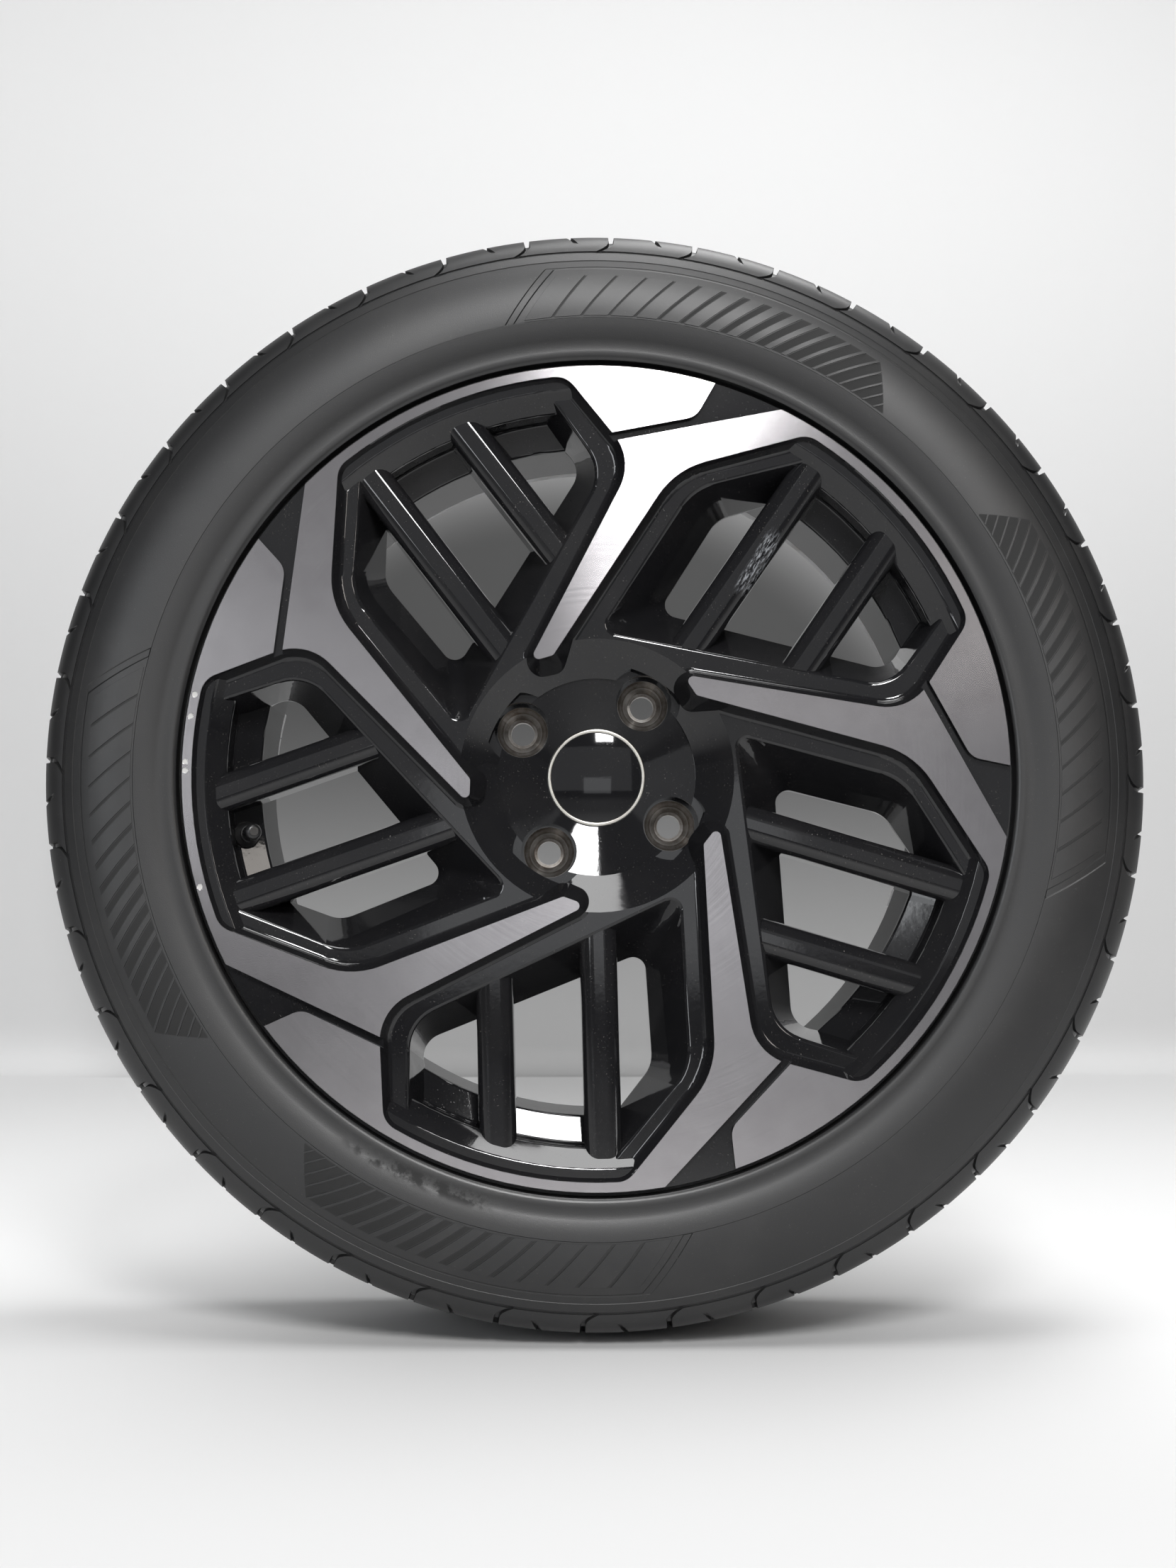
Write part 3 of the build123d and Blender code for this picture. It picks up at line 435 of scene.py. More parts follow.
def dress(node_name, material):
    """Gives a CAD node one material."""
    materials = nodes[node_name].data.materials
    materials.clear()
    materials.append(material)


def bolt_reach(tree, radius, angle):
    """Distance from the middle of the nearest bolt hole: the place is turned to that hole's spoke,
    and measured across the spoke and along it."""
    around = math_node(tree, "RADIANS", turned_from(tree, angle, BOLT_PHASE, BOLT_STEP))
    across = times(tree, radius, math_node(tree, "SINE", around))
    along = times(tree, radius, math_node(tree, "COSINE", around))
    return span(tree, across, math_node(tree, "SUBTRACT", along, BOLT_RADIUS))


def nick_mask(tree, spot, radius, angle, out):
    """One in the nicks of the ring's edge, nothing elsewhere: the distance to the nearest nick,
    made ragged by noise, against a nick's size."""
    nearest = 1.0
    for nick_radius, nick_angle in NICKS:
        turn = turned_from(tree, angle, nick_angle, 360.0)
        around = times(tree, turn, radians(1.0) * nick_radius)
        distance = span(tree, math_node(tree, "SUBTRACT", radius, nick_radius), around)
        nearest = math_node(tree, "MINIMUM", nearest, distance)
    ragged = noise(tree, spot, *NICK_GRAIN)
    nearest = math_node(tree, "MULTIPLY_ADD", ragged, NICK_SIZE, nearest)
    return times(tree, soft_step(tree, nearest, *NICK_EDGE), soft_step(tree, out, *NICK_OUT))


def scuff_mask(tree, x, z, out):
    """One in the streaks on the scuffed bar, nothing elsewhere: a patch that follows the bar,
    broken by noise that is long along the bar and short across it."""
    lean_x, lean_z = cos(SCUFF_LEAN), sin(SCUFF_LEAN)
    along = math_node(tree, "MULTIPLY_ADD", x, lean_x, times(tree, z, lean_z))
    across = math_node(tree, "MULTIPLY_ADD", x, -lean_z, times(tree, z, lean_x))
    streaks = vector_of(tree, times(tree, along, SCUFF_STRETCH), across)
    return times(tree, band(tree, along, *SCUFF_ALONG), band(tree, across, *SCUFF_ACROSS),
                 band(tree, out, *SCUFF_OUT), blotches(tree, streaks, *SCUFF_STREAKS))


def outward(tree, x, z):
    """World direction straight out from the wheel's axis, across the lathe lines."""
    to_world = tree.nodes.new("ShaderNodeVectorTransform")
    to_world.vector_type = "VECTOR"
    to_world.convert_from = "OBJECT"
    to_world.convert_to = "WORLD"
    tree.links.new(vector_of(tree, x, 0.0, z), to_world.inputs[0])
    return to_world.outputs[0]


def alloy_finish():
    """Turned metal with fine lathe lines where the face is, worn metal in the bolt seats, grey
    casting at the back of the barrel, and dusty black paint everywhere else, with a scuff on one
    bar and nicks in the edge of the ring."""
    material, tree, shader = new_material("alloy_wheel", PAINT_BLACK, PAINT_ROUGH)
    link = tree.links.new
    spot = object_place(tree)
    x, _, z = object_xyz(tree)
    radius, angle, out = use_group(tree, WHEEL_PLACES).outputs
    reach = bolt_reach(tree, radius, angle)
    turned = soft_step(tree, out, *FACE_OUT)
    seat = times(tree, soft_step(tree, reach, *SEAT_RADIUS, 1.0, 0.0),
                 soft_step(tree, out, *SEAT_OUT))
    back = times(tree, soft_step(tree, radius, *BACK_RADIUS), soft_step(tree, out, *BACK_OUT))
    bare = math_node(tree, "MAXIMUM", seat, back)
    metal = math_node(tree, "MAXIMUM", turned, bare)
    nick = nick_mask(tree, spot, radius, angle, out)
    scuff = scuff_mask(tree, x, z, out)
    dust = use_group(tree, ROAD_DUST_GROUP, Clouds=0.02, Specks=0.45).outputs["Dust"]
    dirt = math_node(tree, "MAXIMUM", dust, scuff)

    painted = mixed(tree, scuff, mixed(tree, dust, PAINT_BLACK, ROAD_DUST), SCUFF_WHITE)
    rings = noise(tree, vector_of(tree, reach), *SEAT_RINGS)
    stained = math_node(tree, "ADD", noise(tree, spot, *SEAT_STAIN), GRIME_BASE)
    grime = soft_step(tree, times(tree, rings, stained), *GRIME_RANGE)
    colour = mixed(tree, seat, painted, mixed(tree, grime, SEAT_METAL, SEAT_GRIME))
    film = blotches(tree, spot, *BACK_FILM)
    colour = mixed(tree, back, colour, mixed(tree, film, CAST_GREY, ROAD_DUST))
    lathe = noise(tree, vector_of(tree, radius), *LATHE_LINES)
    stain = times(tree, blotches(tree, spot, *FACE_STAIN), STAIN_WEAR)
    wear = math_node(tree, "MULTIPLY_ADD", lathe, LATHE_WEAR, stain)
    worn = soft_step(tree, wear, *WEAR_RANGE)
    colour = mixed(tree, turned, colour, mixed(tree, worn, TURNED_METAL, TURNED_SHADE))
    link(mixed(tree, nick, colour, NICK_WHITE), shader.inputs["Base Color"])
    link(metal, shader.inputs["Metallic"])

    rough = blended(tree, bare, blended(tree, dirt, PAINT_ROUGH, DIRT_ROUGH), BARE_ROUGH)
    face_rough = soft_step(tree, lathe, *LATHE_RANGE, *FACE_ROUGH)
    rough = blended(tree, turned, rough, face_rough)
    link(blended(tree, nick, rough, NICK_ROUGH), shader.inputs["Roughness"])
    shader.inputs["Anisotropic"].default_value = LATHE_ANISOTROPY
    link(outward(tree, x, z), shader.inputs["Tangent"])
    peel = noise(tree, spot, *PAINT_PEEL)
    pits = noise(tree, spot, *METAL_PITS)
    height = math_node(tree, "MULTIPLY_ADD", nick, NICK_DIP, blended(tree, metal, peel, pits))
    link(bump(tree, height, ALLOY_BUMP), shader.inputs["Normal"])
    return material


dress("alloy_wheel", alloy_finish())

# Tyre: one moulding of rubber, part worn, with four straight grooves, curved shoulder slots and
# hatched panels on its outer sidewall.  Its beads are pressed against the two flanges of the rim.
# Places in its section are given as radius and distance outboard.
TREAD_EDGE = (0.334, 0.074)
SHOULDER_BULGE = (0.3301, 0.0851)
SHOULDER_FOOT = (0.321, 0.091)
SHOULDER_ROWS = 12
WIDEST = (0.2852, 0.1003)
RIB = (0.2615, 0.0965)
TREAD_OUTS = (0.0, 0.0065, 0.027, 0.035, 0.055, 0.0585, 0.0625, 0.0665, 0.0705)
GROOVE_OUTS = (0.017, 0.047)
GROOVE_HALF = 0.004
GROOVE_FLANK = 0.0002
GROOVE_DEPTH = 0.0045
PANEL_SUNK = 0.0004
# Bands of the sidewall: how far each is sunk, and the radii of its rows.
WALL_BANDS = (
    (0.0008, (0.3206, 0.3197)),
    (0.0, (0.3193, 0.3165, 0.3143)),
    (PANEL_SUNK, (0.3139, 0.309, 0.304, 0.298, 0.291, 0.284, 0.2785, 0.2775)),
    (0.0, (0.2771, 0.2735, 0.269, 0.265, 0.2615)),
)
BEAD = (
    (0.2580, 0.09655), (0.2550, 0.0963), (0.2533, 0.0957), (0.2524, 0.0948),
    (0.2521, 0.0935), (0.2521, 0.0823), (0.23725, 0.0823), (0.23125, 0.0763),
)
TOE = (0.23125, 0.06055)
INSIDE_WALL = ((0.25725, 0.0815), (0.2852, 0.0925), (0.321, 0.083))
INSIDE_ROWS = 6
CEILING_RADIUS = 0.326
CEILING_DROP = 0.005
CEILING_OUTS = (0.062, 0.041, 0.020, 0.0)
# Shoulder slots: a long one at each pitch and a short one between, with angles in degrees.
PITCHES = 40
PITCH_PHASE = 7.5
LONG_SLOT_HALF = (0.20, 0.30)
LONG_SLOT_FROM = 0.054
LONG_SLOT_DEPTH = 0.0042
LONG_SLOT_END = 0.0012
LONG_SLOT_FADE = 1.5
LONG_SLOT_TIP = 0.0004
SHORT_SLOT_HALF = (0.15, 0.24)
SHORT_SLOT_FROM = 0.0605
SHORT_SLOT_DEPTH = 0.0032
SHORT_SLOT_REACH = 0.72
SHORT_SLOT_FADE = 0.6
SLOT_LEAN = (20.0, 70.0)
BLOCK_COLUMNS = (1.3, 2.3, 3.3, 5.7, 6.5, 7.3, 8.1)
LONG_CURL = 1.3
LONG_CURL_SPAN = (0.3275, 0.0065)
SHORT_CURL = 1.0
SHORT_CURL_SPAN = (0.3330, 0.0085)
# Hatched panels: angles in degrees from the middle of a pair, rises in millimetres from a base.
HATCH_CENTRES = (43.0, 223.0)
HATCH_STEP = 180.0
HATCH_BASE = 0.278
HATCH_RISE = (0.6, 26.0)
HATCH_NUMBERS = (-2, 17)
HATCH_LEAN = 0.17
HATCH_FIRST = 12.0
HATCH_GROWTH = 0.0303
HATCH_TURNS = 20.0
HATCH_SHARES = (0.85, 0.12)
HATCH_SPREAD = (12.0, 46.0)
HATCH_RAISE = 0.00045
HATCH_ROOT = 0.0003
BAR_ROWS = 10
BAR_FLANK = 0.06
BAR_MARGIN = 0.15
PANEL_START = (8.5, 0.154)
PANEL_END = (55.2, -0.18)
OUTLINE_END = (58.0, -0.18)
OUTLINE_LINE = (-0.55, 0.55, 0.12)
OUTLINE_RISE = (-0.4, 31.6, 0.2)
OUTLINE_TOP = (30.6, 31.6, 0.2)
LINE_EDGE = (-0.1, 0.1)
PANEL_SOFT = 0.3
GROOVE_NEAR = (0.0, 0.08)
GROOVE_FAR = (-0.06, 0.02)
GROWN_LEAST = 0.1
MILLIMETRES = 1000.0
TYRE_CREASE = radians(32.0)
RUBBER = (0.010, 0.010, 0.0105)
# Colour of the pattern's grooves: part dirt, part painted shade in the recesses.
GROOVE_DIRT_AND_SHADE = (0.004, 0.004, 0.004)
RUBBER_DUST = (0.165, 0.155, 0.145)
RUBBER_ROUGH = 0.44
SMOOTH_ROUGH = 0.34
DARK_ROUGH = 0.75
RUBBER_SHINE = 0.62
RELIEF_OUT = (0.05, 0.06)
SMEAR_RADIUS = (0.2575, 0.267, 0.003)
SMEAR_ANGLE = (-124.0, -103.0, 4.0)
SMEAR_STREAKS = (120.0, 5.0, 0.7, 0.4, 0.6)
BEAD_FILM = 0.03
BEAD_FILM_RADIUS = (0.2545, 0.2765, 0.0015)
SMOOTH_RADIUS = (0.252, 0.277, 0.0004)
RUBBER_GRAIN = (2200.0, 2.0, 0.5)
GRAIN_SHARE = 0.08
RUBBER_BUMP = 0.0006


def circle_through(start, middle, end):
    """Centre and radius of the circle through three (radius, out) places: the centre is where the
    two perpendicular bisectors cross."""
    corners = np.array([start, middle, end])
    chords = corners[1:] - corners[0]
    squares = (corners[1:] ** 2).sum(1) - (corners[0] ** 2).sum()
    centre = np.linalg.solve(2.0 * chords, squares)
    return centre, np.hypot(*(corners[0] - centre))


def arc_rows(start, middle, end, count):
    """Places spaced evenly along the arc from start through middle to end."""
    centre, radius = circle_through(start, middle, end)
    spokes = np.array([start, middle, end]) - centre
    turns = np.unwrap(np.arctan2(spokes[:, 1], spokes[:, 0]))
    turn = np.linspace(turns[0], turns[2], count)
    return centre + radius * np.stack([np.cos(turn), np.sin(turn)], axis=-1)


def sidewall_out(radius):
    """Outboard place of the bulged sidewall at a radius, on its circle."""
    centre, size = circle_through(SHOULDER_FOOT, WIDEST, RIB)
    return centre[1] + np.sqrt(size ** 2 - (radius - centre[0]) ** 2)


def section_rows(radius, out, deep_long=0.0, deep_short=0.0, lean=0.0):
    """Rows of the tyre's section: radius, out, depth of the long slots, depth of the short slots
    and the lean of the surface, each given for every row or once for all."""
    return np.stack(np.broadcast_arrays(radius, out, deep_long, deep_short, lean), axis=-1)


def outer_half():
    """Rows of the outer skin from the middle of the tread to the toe of the bead.  The tread drops
    with the square of the place outboard, and steps down by a groove's depth inside each groove.
    The slots fade out round the arc of the shoulder, and the sidewall lies on its own arc."""
    grooves = np.array(GROOVE_OUTS)[:, None]
    flanks = np.array([GROOVE_HALF - GROOVE_FLANK, GROOVE_HALF + GROOVE_FLANK])
    edges = [(grooves - flanks).ravel(), (grooves + flanks).ravel()]
    out = np.sort(np.concatenate([TREAD_OUTS, *edges]))
    sunk = np.where(abs(out - grooves).min(0) < GROOVE_HALF, GROOVE_DEPTH, 0.0)
    drop = (TYRE_RADIUS - TREAD_EDGE[0]) * (out / TREAD_EDGE[1]) ** 2
    tread = section_rows(
        TYRE_RADIUS - drop - sunk,
        out,
        np.where(out > LONG_SLOT_FROM, LONG_SLOT_DEPTH, 0.0),
        np.where(out > SHORT_SLOT_FROM, SHORT_SLOT_DEPTH, 0.0),
    )
    along = np.linspace(0.0, 1.0, SHOULDER_ROWS)
    shoulder = section_rows(
        *arc_rows(TREAD_EDGE, SHOULDER_BULGE, SHOULDER_FOOT, SHOULDER_ROWS).T,
        LONG_SLOT_DEPTH + (LONG_SLOT_END - LONG_SLOT_DEPTH) * along ** LONG_SLOT_FADE,
        SHORT_SLOT_DEPTH * np.clip(1.0 - along / SHORT_SLOT_REACH, 0.0, 1.0) ** SHORT_SLOT_FADE,
        np.radians(SLOT_LEAN[0] + (SLOT_LEAN[1] - SLOT_LEAN[0]) * along),
    )
    wall_radius = np.concatenate([radii for _, radii in WALL_BANDS])
    wall_sunk = np.concatenate([np.full(len(radii), depth) for depth, radii in WALL_BANDS])
    wall = section_rows(wall_radius, sidewall_out(wall_radius) - wall_sunk, lean=pi / 2)
    wall[0, 2] = LONG_SLOT_TIP
    return np.concatenate([tread, shoulder, wall, section_rows(*np.array(BEAD).T)])


def inner_half():
    """Rows of the inside, from the toe of the bead up an arc to the middle of the tread's ceiling,
    which drops with the square of the place outboard."""
    out = np.array(CEILING_OUTS)
    ceiling = CEILING_RADIUS - CEILING_DROP * (out / INSIDE_WALL[-1][1]) ** 2
    places = [[TOE], arc_rows(*INSIDE_WALL, INSIDE_ROWS), np.stack([ceiling, out], axis=-1)]
    return section_rows(*np.concatenate(places).T)


def tyre_surface():
    """Closed skin of the tyre: section rows carried round the axis.  Columns crowd at the edges
    of the slots, lean along the curve of each slot, and sink by its depth between its edges."""
    half = np.concatenate([outer_half(), inner_half()])
    mirror = half[-2:0:-1] * np.array([1.0, -1.0, 1.0, 1.0, -1.0])
    rows = np.concatenate([half, mirror])
    pitch = 360.0 / PITCHES
    middle = pitch / 2
    long_edges = np.array(LONG_SLOT_HALF)
    short_edges = np.array(SHORT_SLOT_HALF)
    base = np.sort(np.concatenate([
        -long_edges, long_edges, middle - short_edges, middle + short_edges, BLOCK_COLUMNS]))
    inside_long = np.isclose(abs(base), LONG_SLOT_HALF[0])
    inside_short = np.isclose(abs(base - middle), SHORT_SLOT_HALF[0])
    from_long = np.minimum(abs(base), pitch - abs(base))
    wide = LONG_SLOT_HALF[1]
    near_long = np.clip((middle - wide - from_long) / (middle - 2 * wide), 0.0, 1.0)
    near_short = 1.0 - near_long
    start = np.repeat(np.arange(PITCHES) * pitch + PITCH_PHASE, len(base))
    column = start + np.tile(base, PITCHES)
    inside_long, inside_short, near_long, near_short = [
        np.tile(part, PITCHES) for part in (inside_long, inside_short, near_long, near_short)]
    radius, out, deep_long, deep_short, lean = rows.T[..., None]
    long_curl, short_curl = [
        np.clip((curl_start - radius) / length, 0.0, 1.0)
        for curl_start, length in (LONG_CURL_SPAN, SHORT_CURL_SPAN)]
    angle = column + LONG_CURL * long_curl ** 2 * near_long - SHORT_CURL * short_curl * near_short
    deep = deep_long * inside_long + deep_short * inside_short
    radius = radius - deep * np.cos(lean)
    out = out - deep * np.sin(lean)
    turn = np.radians(angle)
    points = np.stack([radius * np.cos(turn), -out, radius * np.sin(turn)], axis=-1)
    return points.reshape(-1, 3), grid_faces(len(rows), len(column), True, True)


def hatch_bars():
    """Raised bars of the four hatched panels, as closed shells rooted in the sidewall.  Groove
    number n lies at first + (e^(n / turns) - 1) / growth degrees from the middle of a pair of
    panels, takes a share of its pitch that falls smoothly along the panel, and leans back with the
    radius.  A bar fills what is left to the next groove, and ends at its panel's slanted end."""
    number = np.arange(*HATCH_NUMBERS)
    low, high = [
        HATCH_FIRST + (np.exp(n / HATCH_TURNS) - 1.0) / HATCH_GROWTH for n in (number, number + 1)]
    along = np.clip((low - HATCH_SPREAD[0]) / (HATCH_SPREAD[1] - HATCH_SPREAD[0]), 0.0, 1.0)
    fall = along ** 2 * (3.0 - 2.0 * along)
    low = low + (high - low) * (HATCH_SHARES[0] + (HATCH_SHARES[1] - HATCH_SHARES[0]) * fall)
    start, slope = PANEL_START
    foot, head = HATCH_RISE
    top = np.minimum(head, (high - start - BAR_MARGIN) / (slope + HATCH_LEAN))
    rise = foot + (top - foot)[:, None] * np.linspace(0.0, 1.0, BAR_ROWS)
    near_edge = np.maximum(low[:, None] - HATCH_LEAN * rise, start + slope * rise)
    far_edge = high[:, None] - HATCH_LEAN * rise
    aside = np.stack([near_edge - BAR_FLANK, near_edge, far_edge, far_edge + BAR_FLANK], axis=-1)
    radius = (HATCH_BASE + rise / MILLIMETRES)[..., None]
    skin = sidewall_out(radius) - PANEL_SUNK
    out = skin + np.array([-HATCH_ROOT, HATCH_RAISE, HATCH_RAISE, -HATCH_ROOT])
    bars = []
    for centre in HATCH_CENTRES:
        for side in (1, -1):
            turn = np.radians(centre + side * aside)
            corners = np.stack([radius * np.cos(turn), -out, radius * np.sin(turn)], axis=-1)
            bars.append(corners[:, :, ::-side])
    bars = np.concatenate(bars)
    count, rows, sides = bars.shape[:3]
    last = sides * (rows - 1)
    ends = np.array([[0, 3, 2, 1], [last, last + 1, last + 2, last + 3]])
    one = np.concatenate([grid_faces(rows, sides, False, True), ends])
    faces = one[None] + np.arange(count)[:, None, None] * sides * rows
    return bars.reshape(-1, 3), faces.reshape(-1, 4)


def sidewall_relief_group():
    """Masks of the moulded sidewall pattern: the floors of the slanted grooves in four panels, and
    the outline that runs round the panels."""
    group, _, result = new_group("sidewall_relief", [], ["Grooves", "Outline"])
    radius, angle, _ = use_group(group, WHEEL_PLACES).outputs
    rise = math_node(group, "MULTIPLY_ADD", radius, MILLIMETRES, -MILLIMETRES * HATCH_BASE)
    aside = turned_from(group, angle, HATCH_CENTRES[0], HATCH_STEP)
    aside = math_node(group, "ABSOLUTE", aside)

    def past_line(start, slope):
        """How far a place is past a slanted line, in degrees."""
        line = math_node(group, "MULTIPLY_ADD", rise, slope, start)
        return math_node(group, "SUBTRACT", aside, line)

    place = math_node(group, "MULTIPLY_ADD", rise, HATCH_LEAN, aside)
    grown = math_node(
        group, "MULTIPLY_ADD", place, HATCH_GROWTH, 1.0 - HATCH_FIRST * HATCH_GROWTH)
    grown = math_node(group, "MAXIMUM", grown, GROWN_LEAST)
    count = times(group, math_node(group, "LOGARITHM", grown, e), HATCH_TURNS)
    share = math_node(group, "FRACT", count)
    width = soft_step(group, place, *HATCH_SPREAD, *HATCH_SHARES)
    rest = math_node(group, "SUBTRACT", share, width)
    grooves = times(
        group,
        soft_step(group, rest, *GROOVE_FAR, 1.0, 0.0),
        soft_step(group, share, *GROOVE_NEAR),
        band(group, rise, *HATCH_RISE, PANEL_SOFT),
        soft_step(group, past_line(*PANEL_START), *LINE_EDGE),
        soft_step(group, past_line(*PANEL_END), *LINE_EDGE, 1.0, 0.0),
    )
    past_end = past_line(*OUTLINE_END)
    end_line = times(group, band(group, past_end, *OUTLINE_LINE), band(group, rise, *OUTLINE_RISE))
    top_line = times(group, band(group, rise, *OUTLINE_TOP),
                     soft_step(group, past_end, *LINE_EDGE, 1.0, 0.0))
    group.links.new(grooves, result.inputs["Grooves"])
    group.links.new(math_node(group, "MAXIMUM", end_line, top_line), result.inputs["Outline"])
    return group


SIDEWALL_RELIEF = sidewall_relief_group()


def rubber_finish():
    """Dull black rubber with a fine grain, darker in the grooves of its pattern, partly dirt and
    partly painted shade, smoother beside the rim, with dust and a patch of dark smears."""
    material, tree, shader = new_material("tyre_rubber", RUBBER, RUBBER_ROUGH)
    link = tree.links.new
    spot = object_place(tree)
    radius, angle, out = use_group(tree, WHEEL_PLACES).outputs
    grooves, outline = use_group(tree, SIDEWALL_RELIEF).outputs
    grooves = times(tree, grooves, soft_step(tree, out, *RELIEF_OUT))
    smear = times(tree, band(tree, radius, *SMEAR_RADIUS), band(tree, angle, *SMEAR_ANGLE),
                  blotches(tree, spot, *SMEAR_STREAKS))
    dark = math_node(tree, "MAXIMUM", grooves, smear)
    dust = use_group(tree, ROAD_DUST_GROUP, Clouds=0.05, Specks=0.25).outputs["Dust"]
    film = times(tree, band(tree, radius, *BEAD_FILM_RADIUS), BEAD_FILM)
    dirt = math_node(tree, "MAXIMUM", dust, film)
    colour = mixed(tree, dirt, RUBBER, RUBBER_DUST)
    # The pattern's grooves are darker, partly dirt and partly painted shade; the smears are real
    # marks.
    link(mixed(tree, dark, colour, GROOVE_DIRT_AND_SHADE), shader.inputs["Base Color"])
    shader.inputs["Specular IOR Level"].default_value = RUBBER_SHINE
    smooth = band(tree, radius, *SMOOTH_RADIUS)
    rough = blended(tree, smooth, RUBBER_ROUGH, SMOOTH_ROUGH)
    link(blended(tree, dark, rough, DARK_ROUGH), shader.inputs["Roughness"])
    grain = noise(tree, spot, *RUBBER_GRAIN)
    height = math_node(tree, "MULTIPLY_ADD", grain, GRAIN_SHARE, times(tree, outline, -1.0))
    link(bump(tree, height, RUBBER_BUMP), shader.inputs["Normal"])
    return material


tyre_points, tyre_faces = tyre_surface()
hatch_points, hatch_faces = hatch_bars()
tyre = new_mesh_object(
    "tyre_rubber",
    np.concatenate([tyre_points, hatch_points]),
    np.concatenate([tyre_faces, hatch_faces + len(tyre_points)]),
)
tyre.data.set_sharp_from_angle(angle=TYRE_CREASE)
tyre.data.materials.append(rubber_finish())
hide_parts("tyre")
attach(tyre, "wheel")

# Centre cap: a domed plastic cap, moulded in gloss black, with a satin metal ring round its edge.
# Six legs snap behind the lip of the hub, spread by a wire ring.
CAP_BLACK = (0.009, 0.009, 0.010)
RING_METAL = (0.60, 0.58, 0.53)
SPRING_STEEL = (0.42, 0.42, 0.44)
DUSTY_ROUGH = 0.6
FINE_GRAIN = (2.0, 0.5)


def plain_finish(name, base, rough, dust, grain, metallic=0.0):
    """One colour with dust on it, given as clouds and specks, a roughness that follows the dust,
    and a fine grain, given as grains per metre and a height."""
    material, tree, shader = new_material(name, base, rough, metallic)
    clouds, specks = dust
    scale, height = grain
    dusty = use_group(tree, ROAD_DUST_GROUP, Clouds=clouds, Specks=specks).outputs["Dust"]
    tree.links.new(mixed(tree, dusty, base, ROAD_DUST), shader.inputs["Base Color"])
    tree.links.new(blended(tree, dusty, rough, DUSTY_ROUGH), shader.inputs["Roughness"])
    fine = noise(tree, object_place(tree), scale, *FINE_GRAIN)
    tree.links.new(bump(tree, fine, height), shader.inputs["Normal"])
    return material


dress("centre_cap", plain_finish(
    "cap_black", CAP_BLACK, rough=0.05, dust=(0.01, 0.25), grain=(200.0, 0.000006)))
dress("centre_cap_ring", plain_finish(
    "cap_ring_metal", RING_METAL, rough=0.30, dust=(0.10, 0.30), grain=(1600.0, 0.00002),
    metallic=1.0))
dress("centre_cap_spring", plain_finish(
    "spring_steel", SPRING_STEEL, rough=0.34, dust=(0.05, 0.10), grain=(1500.0, 0.00002),
    metallic=1.0))

# Valve: a rubber body snapped through the rim, a brass stem moulded into it with a threaded end,
# a screwed core whose pin presses a small spring together, and a black plastic cap with a soft
# disc inside.  Heights are along the valve's axis.
VALVE_ORIGIN = np.array([-0.2166177, -0.05209, -0.0354725])
VALVE_AXIS = np.array([0.3375245, -0.9396926, 0.0552718])
VALVE_ANGLE = radians(189.3)
VALVE_SIDE = np.array([-sin(VALVE_ANGLE), 0.0, cos(VALVE_ANGLE)])
VALVE_UP = np.cross(VALVE_AXIS, VALVE_SIDE)
STEM_THREAD = (0.0155, 0.0235)
THREAD_PITCH = 0.000794
THREAD_DEPTH = 0.00036
THREAD_ROWS = 104
STEM_RADIUS = 0.0035
THREAD_RADIUS = 0.00375
CORE_RADIUS = 0.0022
STEM_BORE = 0.0018
STEM_FOOT = -0.0126
CORE_FLOOR = 0.0146
STEM_SIDES = 36
STEM_CREASE = radians(40.0)
COIL_RADIUS = 0.00105
COIL_WIRE = 0.0002
COIL_ENDS = (0.01755, 0.02085)
COIL_TURNS = 4
COIL_STEPS = 24
COIL_CREASE = radians(60.0)
WIRE_SIDES = 8
WIRE_END = np.array([[3, 2, 1, 0], [7, 4, 3, 0], [7, 6, 5, 4]])
VALVE_RUBBER = (0.017, 0.017, 0.018)
BRASS = (0.58, 0.42, 0.20)
CAP_PLASTIC = (0.013, 0.013, 0.014)
SEAL_RUBBER = (0.30, 0.05, 0.04)


def stem_surface():
    """Closed tube turned about the valve's axis.  Its outer radius in the threaded length drops by
    the thread's depth times a triangle wave of height over pitch less the share of a turn."""
    thread = np.linspace(*STEM_THREAD, THREAD_ROWS)
    start, end = STEM_THREAD
    height = np.concatenate([
        [STEM_FOOT, STEM_FOOT, start], thread, [end, end, CORE_FLOOR, CORE_FLOOR]])
    radius = np.concatenate([
        [STEM_BORE, STEM_RADIUS, STEM_RADIUS],
        np.full(THREAD_ROWS, THREAD_RADIUS),
        [THREAD_RADIUS - THREAD_DEPTH, CORE_RADIUS, CORE_RADIUS, STEM_BORE],
    ])
    cut = np.where(radius == THREAD_RADIUS, THREAD_DEPTH, 0.0)
    turn = np.linspace(0.0, 2 * pi, STEM_SIDES, endpoint=False)
    share = (height[:, None] / THREAD_PITCH - turn / (2 * pi)) % 1.0
    wave = abs(2.0 * share - 1.0)
    reach = radius[:, None] - cut[:, None] * wave
    around = np.cos(turn)[:, None] * VALVE_SIDE + np.sin(turn)[:, None] * VALVE_UP
    points = VALVE_ORIGIN + height[:, None, None] * VALVE_AXIS + reach[..., None] * around
    return points.reshape(-1, 3), grid_faces(len(radius), STEM_SIDES, True, True)


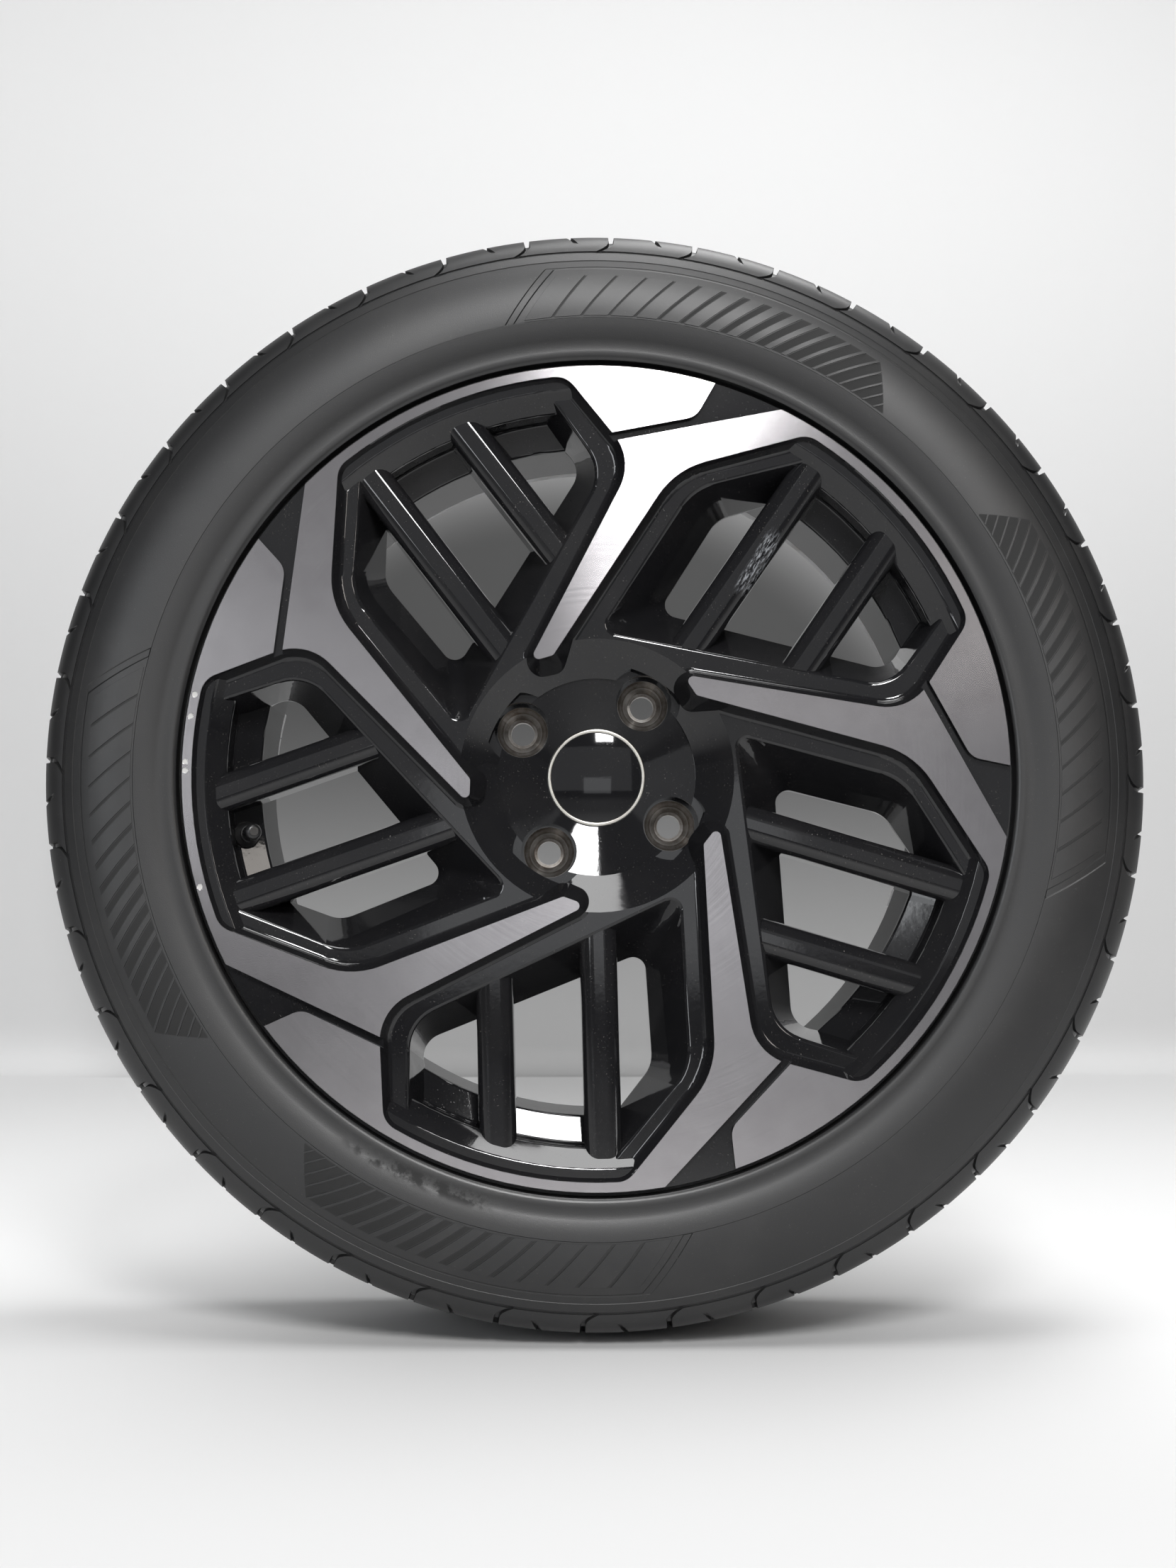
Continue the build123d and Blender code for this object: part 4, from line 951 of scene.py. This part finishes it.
def coil_surface():
    """Closed round wire along a helix about the valve's axis: the middle of the wire is at the
    coil's radius, and its height grows evenly with the turn from one end to the other."""
    turn = np.linspace(0.0, 2 * pi * COIL_TURNS, COIL_STEPS * COIL_TURNS + 1)[:, None]
    height = np.linspace(*COIL_ENDS, len(turn))[:, None]
    outside = np.cos(turn) * VALVE_SIDE + np.sin(turn) * VALVE_UP
    around = np.cos(turn) * VALVE_UP - np.sin(turn) * VALVE_SIDE
    climb = (COIL_ENDS[1] - COIL_ENDS[0]) / (2 * pi * COIL_TURNS)
    forward = COIL_RADIUS * around + climb * VALVE_AXIS
    forward = forward / np.linalg.norm(forward, axis=1, keepdims=True)
    across = np.cross(forward, outside)
    middle = VALVE_ORIGIN + height * VALVE_AXIS + COIL_RADIUS * outside
    share = np.linspace(0.0, 2 * pi, WIRE_SIDES, endpoint=False)[:, None]
    ring = np.cos(share) * outside[:, None] + np.sin(share) * across[:, None]
    points = middle[:, None] + COIL_WIRE * ring
    last = WIRE_SIDES * (len(turn) - 1) + WIRE_END[:, ::-1]
    faces = np.concatenate([grid_faces(len(turn), WIRE_SIDES, False, True), WIRE_END, last])
    return points.reshape(-1, 3), faces


stem = new_mesh_object("valve_stem_thread", *stem_surface())
stem.data.set_sharp_from_angle(angle=STEM_CREASE)
brass = plain_finish(
    "valve_brass", BRASS, rough=0.30, dust=(0.10, 0.15), grain=(1800.0, 0.00001), metallic=1.0)
stem.data.materials.append(brass)
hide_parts("valve_stem")
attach(stem, "wheel")
dress("valve_core", brass)
dress("valve_pin", brass)
dress("valve_body", plain_finish(
    "valve_rubber", VALVE_RUBBER, rough=0.55, dust=(0.10, 0.30), grain=(2400.0, 0.00003)))
dress("valve_cap", plain_finish(
    "valve_cap_plastic", CAP_PLASTIC, rough=0.28, dust=(0.05, 0.25), grain=(1500.0, 0.00001)))
seal_rubber = plain_finish(
    "seal_rubber", SEAL_RUBBER, rough=0.60, dust=(0.05, 0.10), grain=(2600.0, 0.00002))
dress("valve_core_seal", seal_rubber)
dress("valve_cap_seal", seal_rubber)
coil = new_mesh_object("valve_spring_coil", *coil_surface())
coil.data.set_sharp_from_angle(angle=COIL_CREASE)
coil.data.materials.append(plain_finish(
    "valve_spring_steel", SPRING_STEEL, rough=0.30, dust=(0.03, 0.05), grain=(3000.0, 0.000005),
    metallic=1.0))
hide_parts("valve_spring")
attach(coil, "wheel")
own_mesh(coil)

# Balance weights: two strips of plated steel segments, stuck to the rear edge of the barrel with
# grey foam tape.
WEIGHT_METAL = (0.62, 0.62, 0.63)
TAPE_FOAM = (0.055, 0.055, 0.058)

weight_metal = plain_finish(
    "weight_metal", WEIGHT_METAL, rough=0.33, dust=(0.15, 0.30), grain=(1300.0, 0.00004),
    metallic=1.0)
tape_foam = plain_finish(
    "tape_foam", TAPE_FOAM, rough=0.85, dust=(0.10, 0.20), grain=(4000.0, 0.00008))
for side in ("left", "right"):
    dress("balance_weight_" + side, weight_metal)
    dress("weight_tape_" + side, tape_foam)
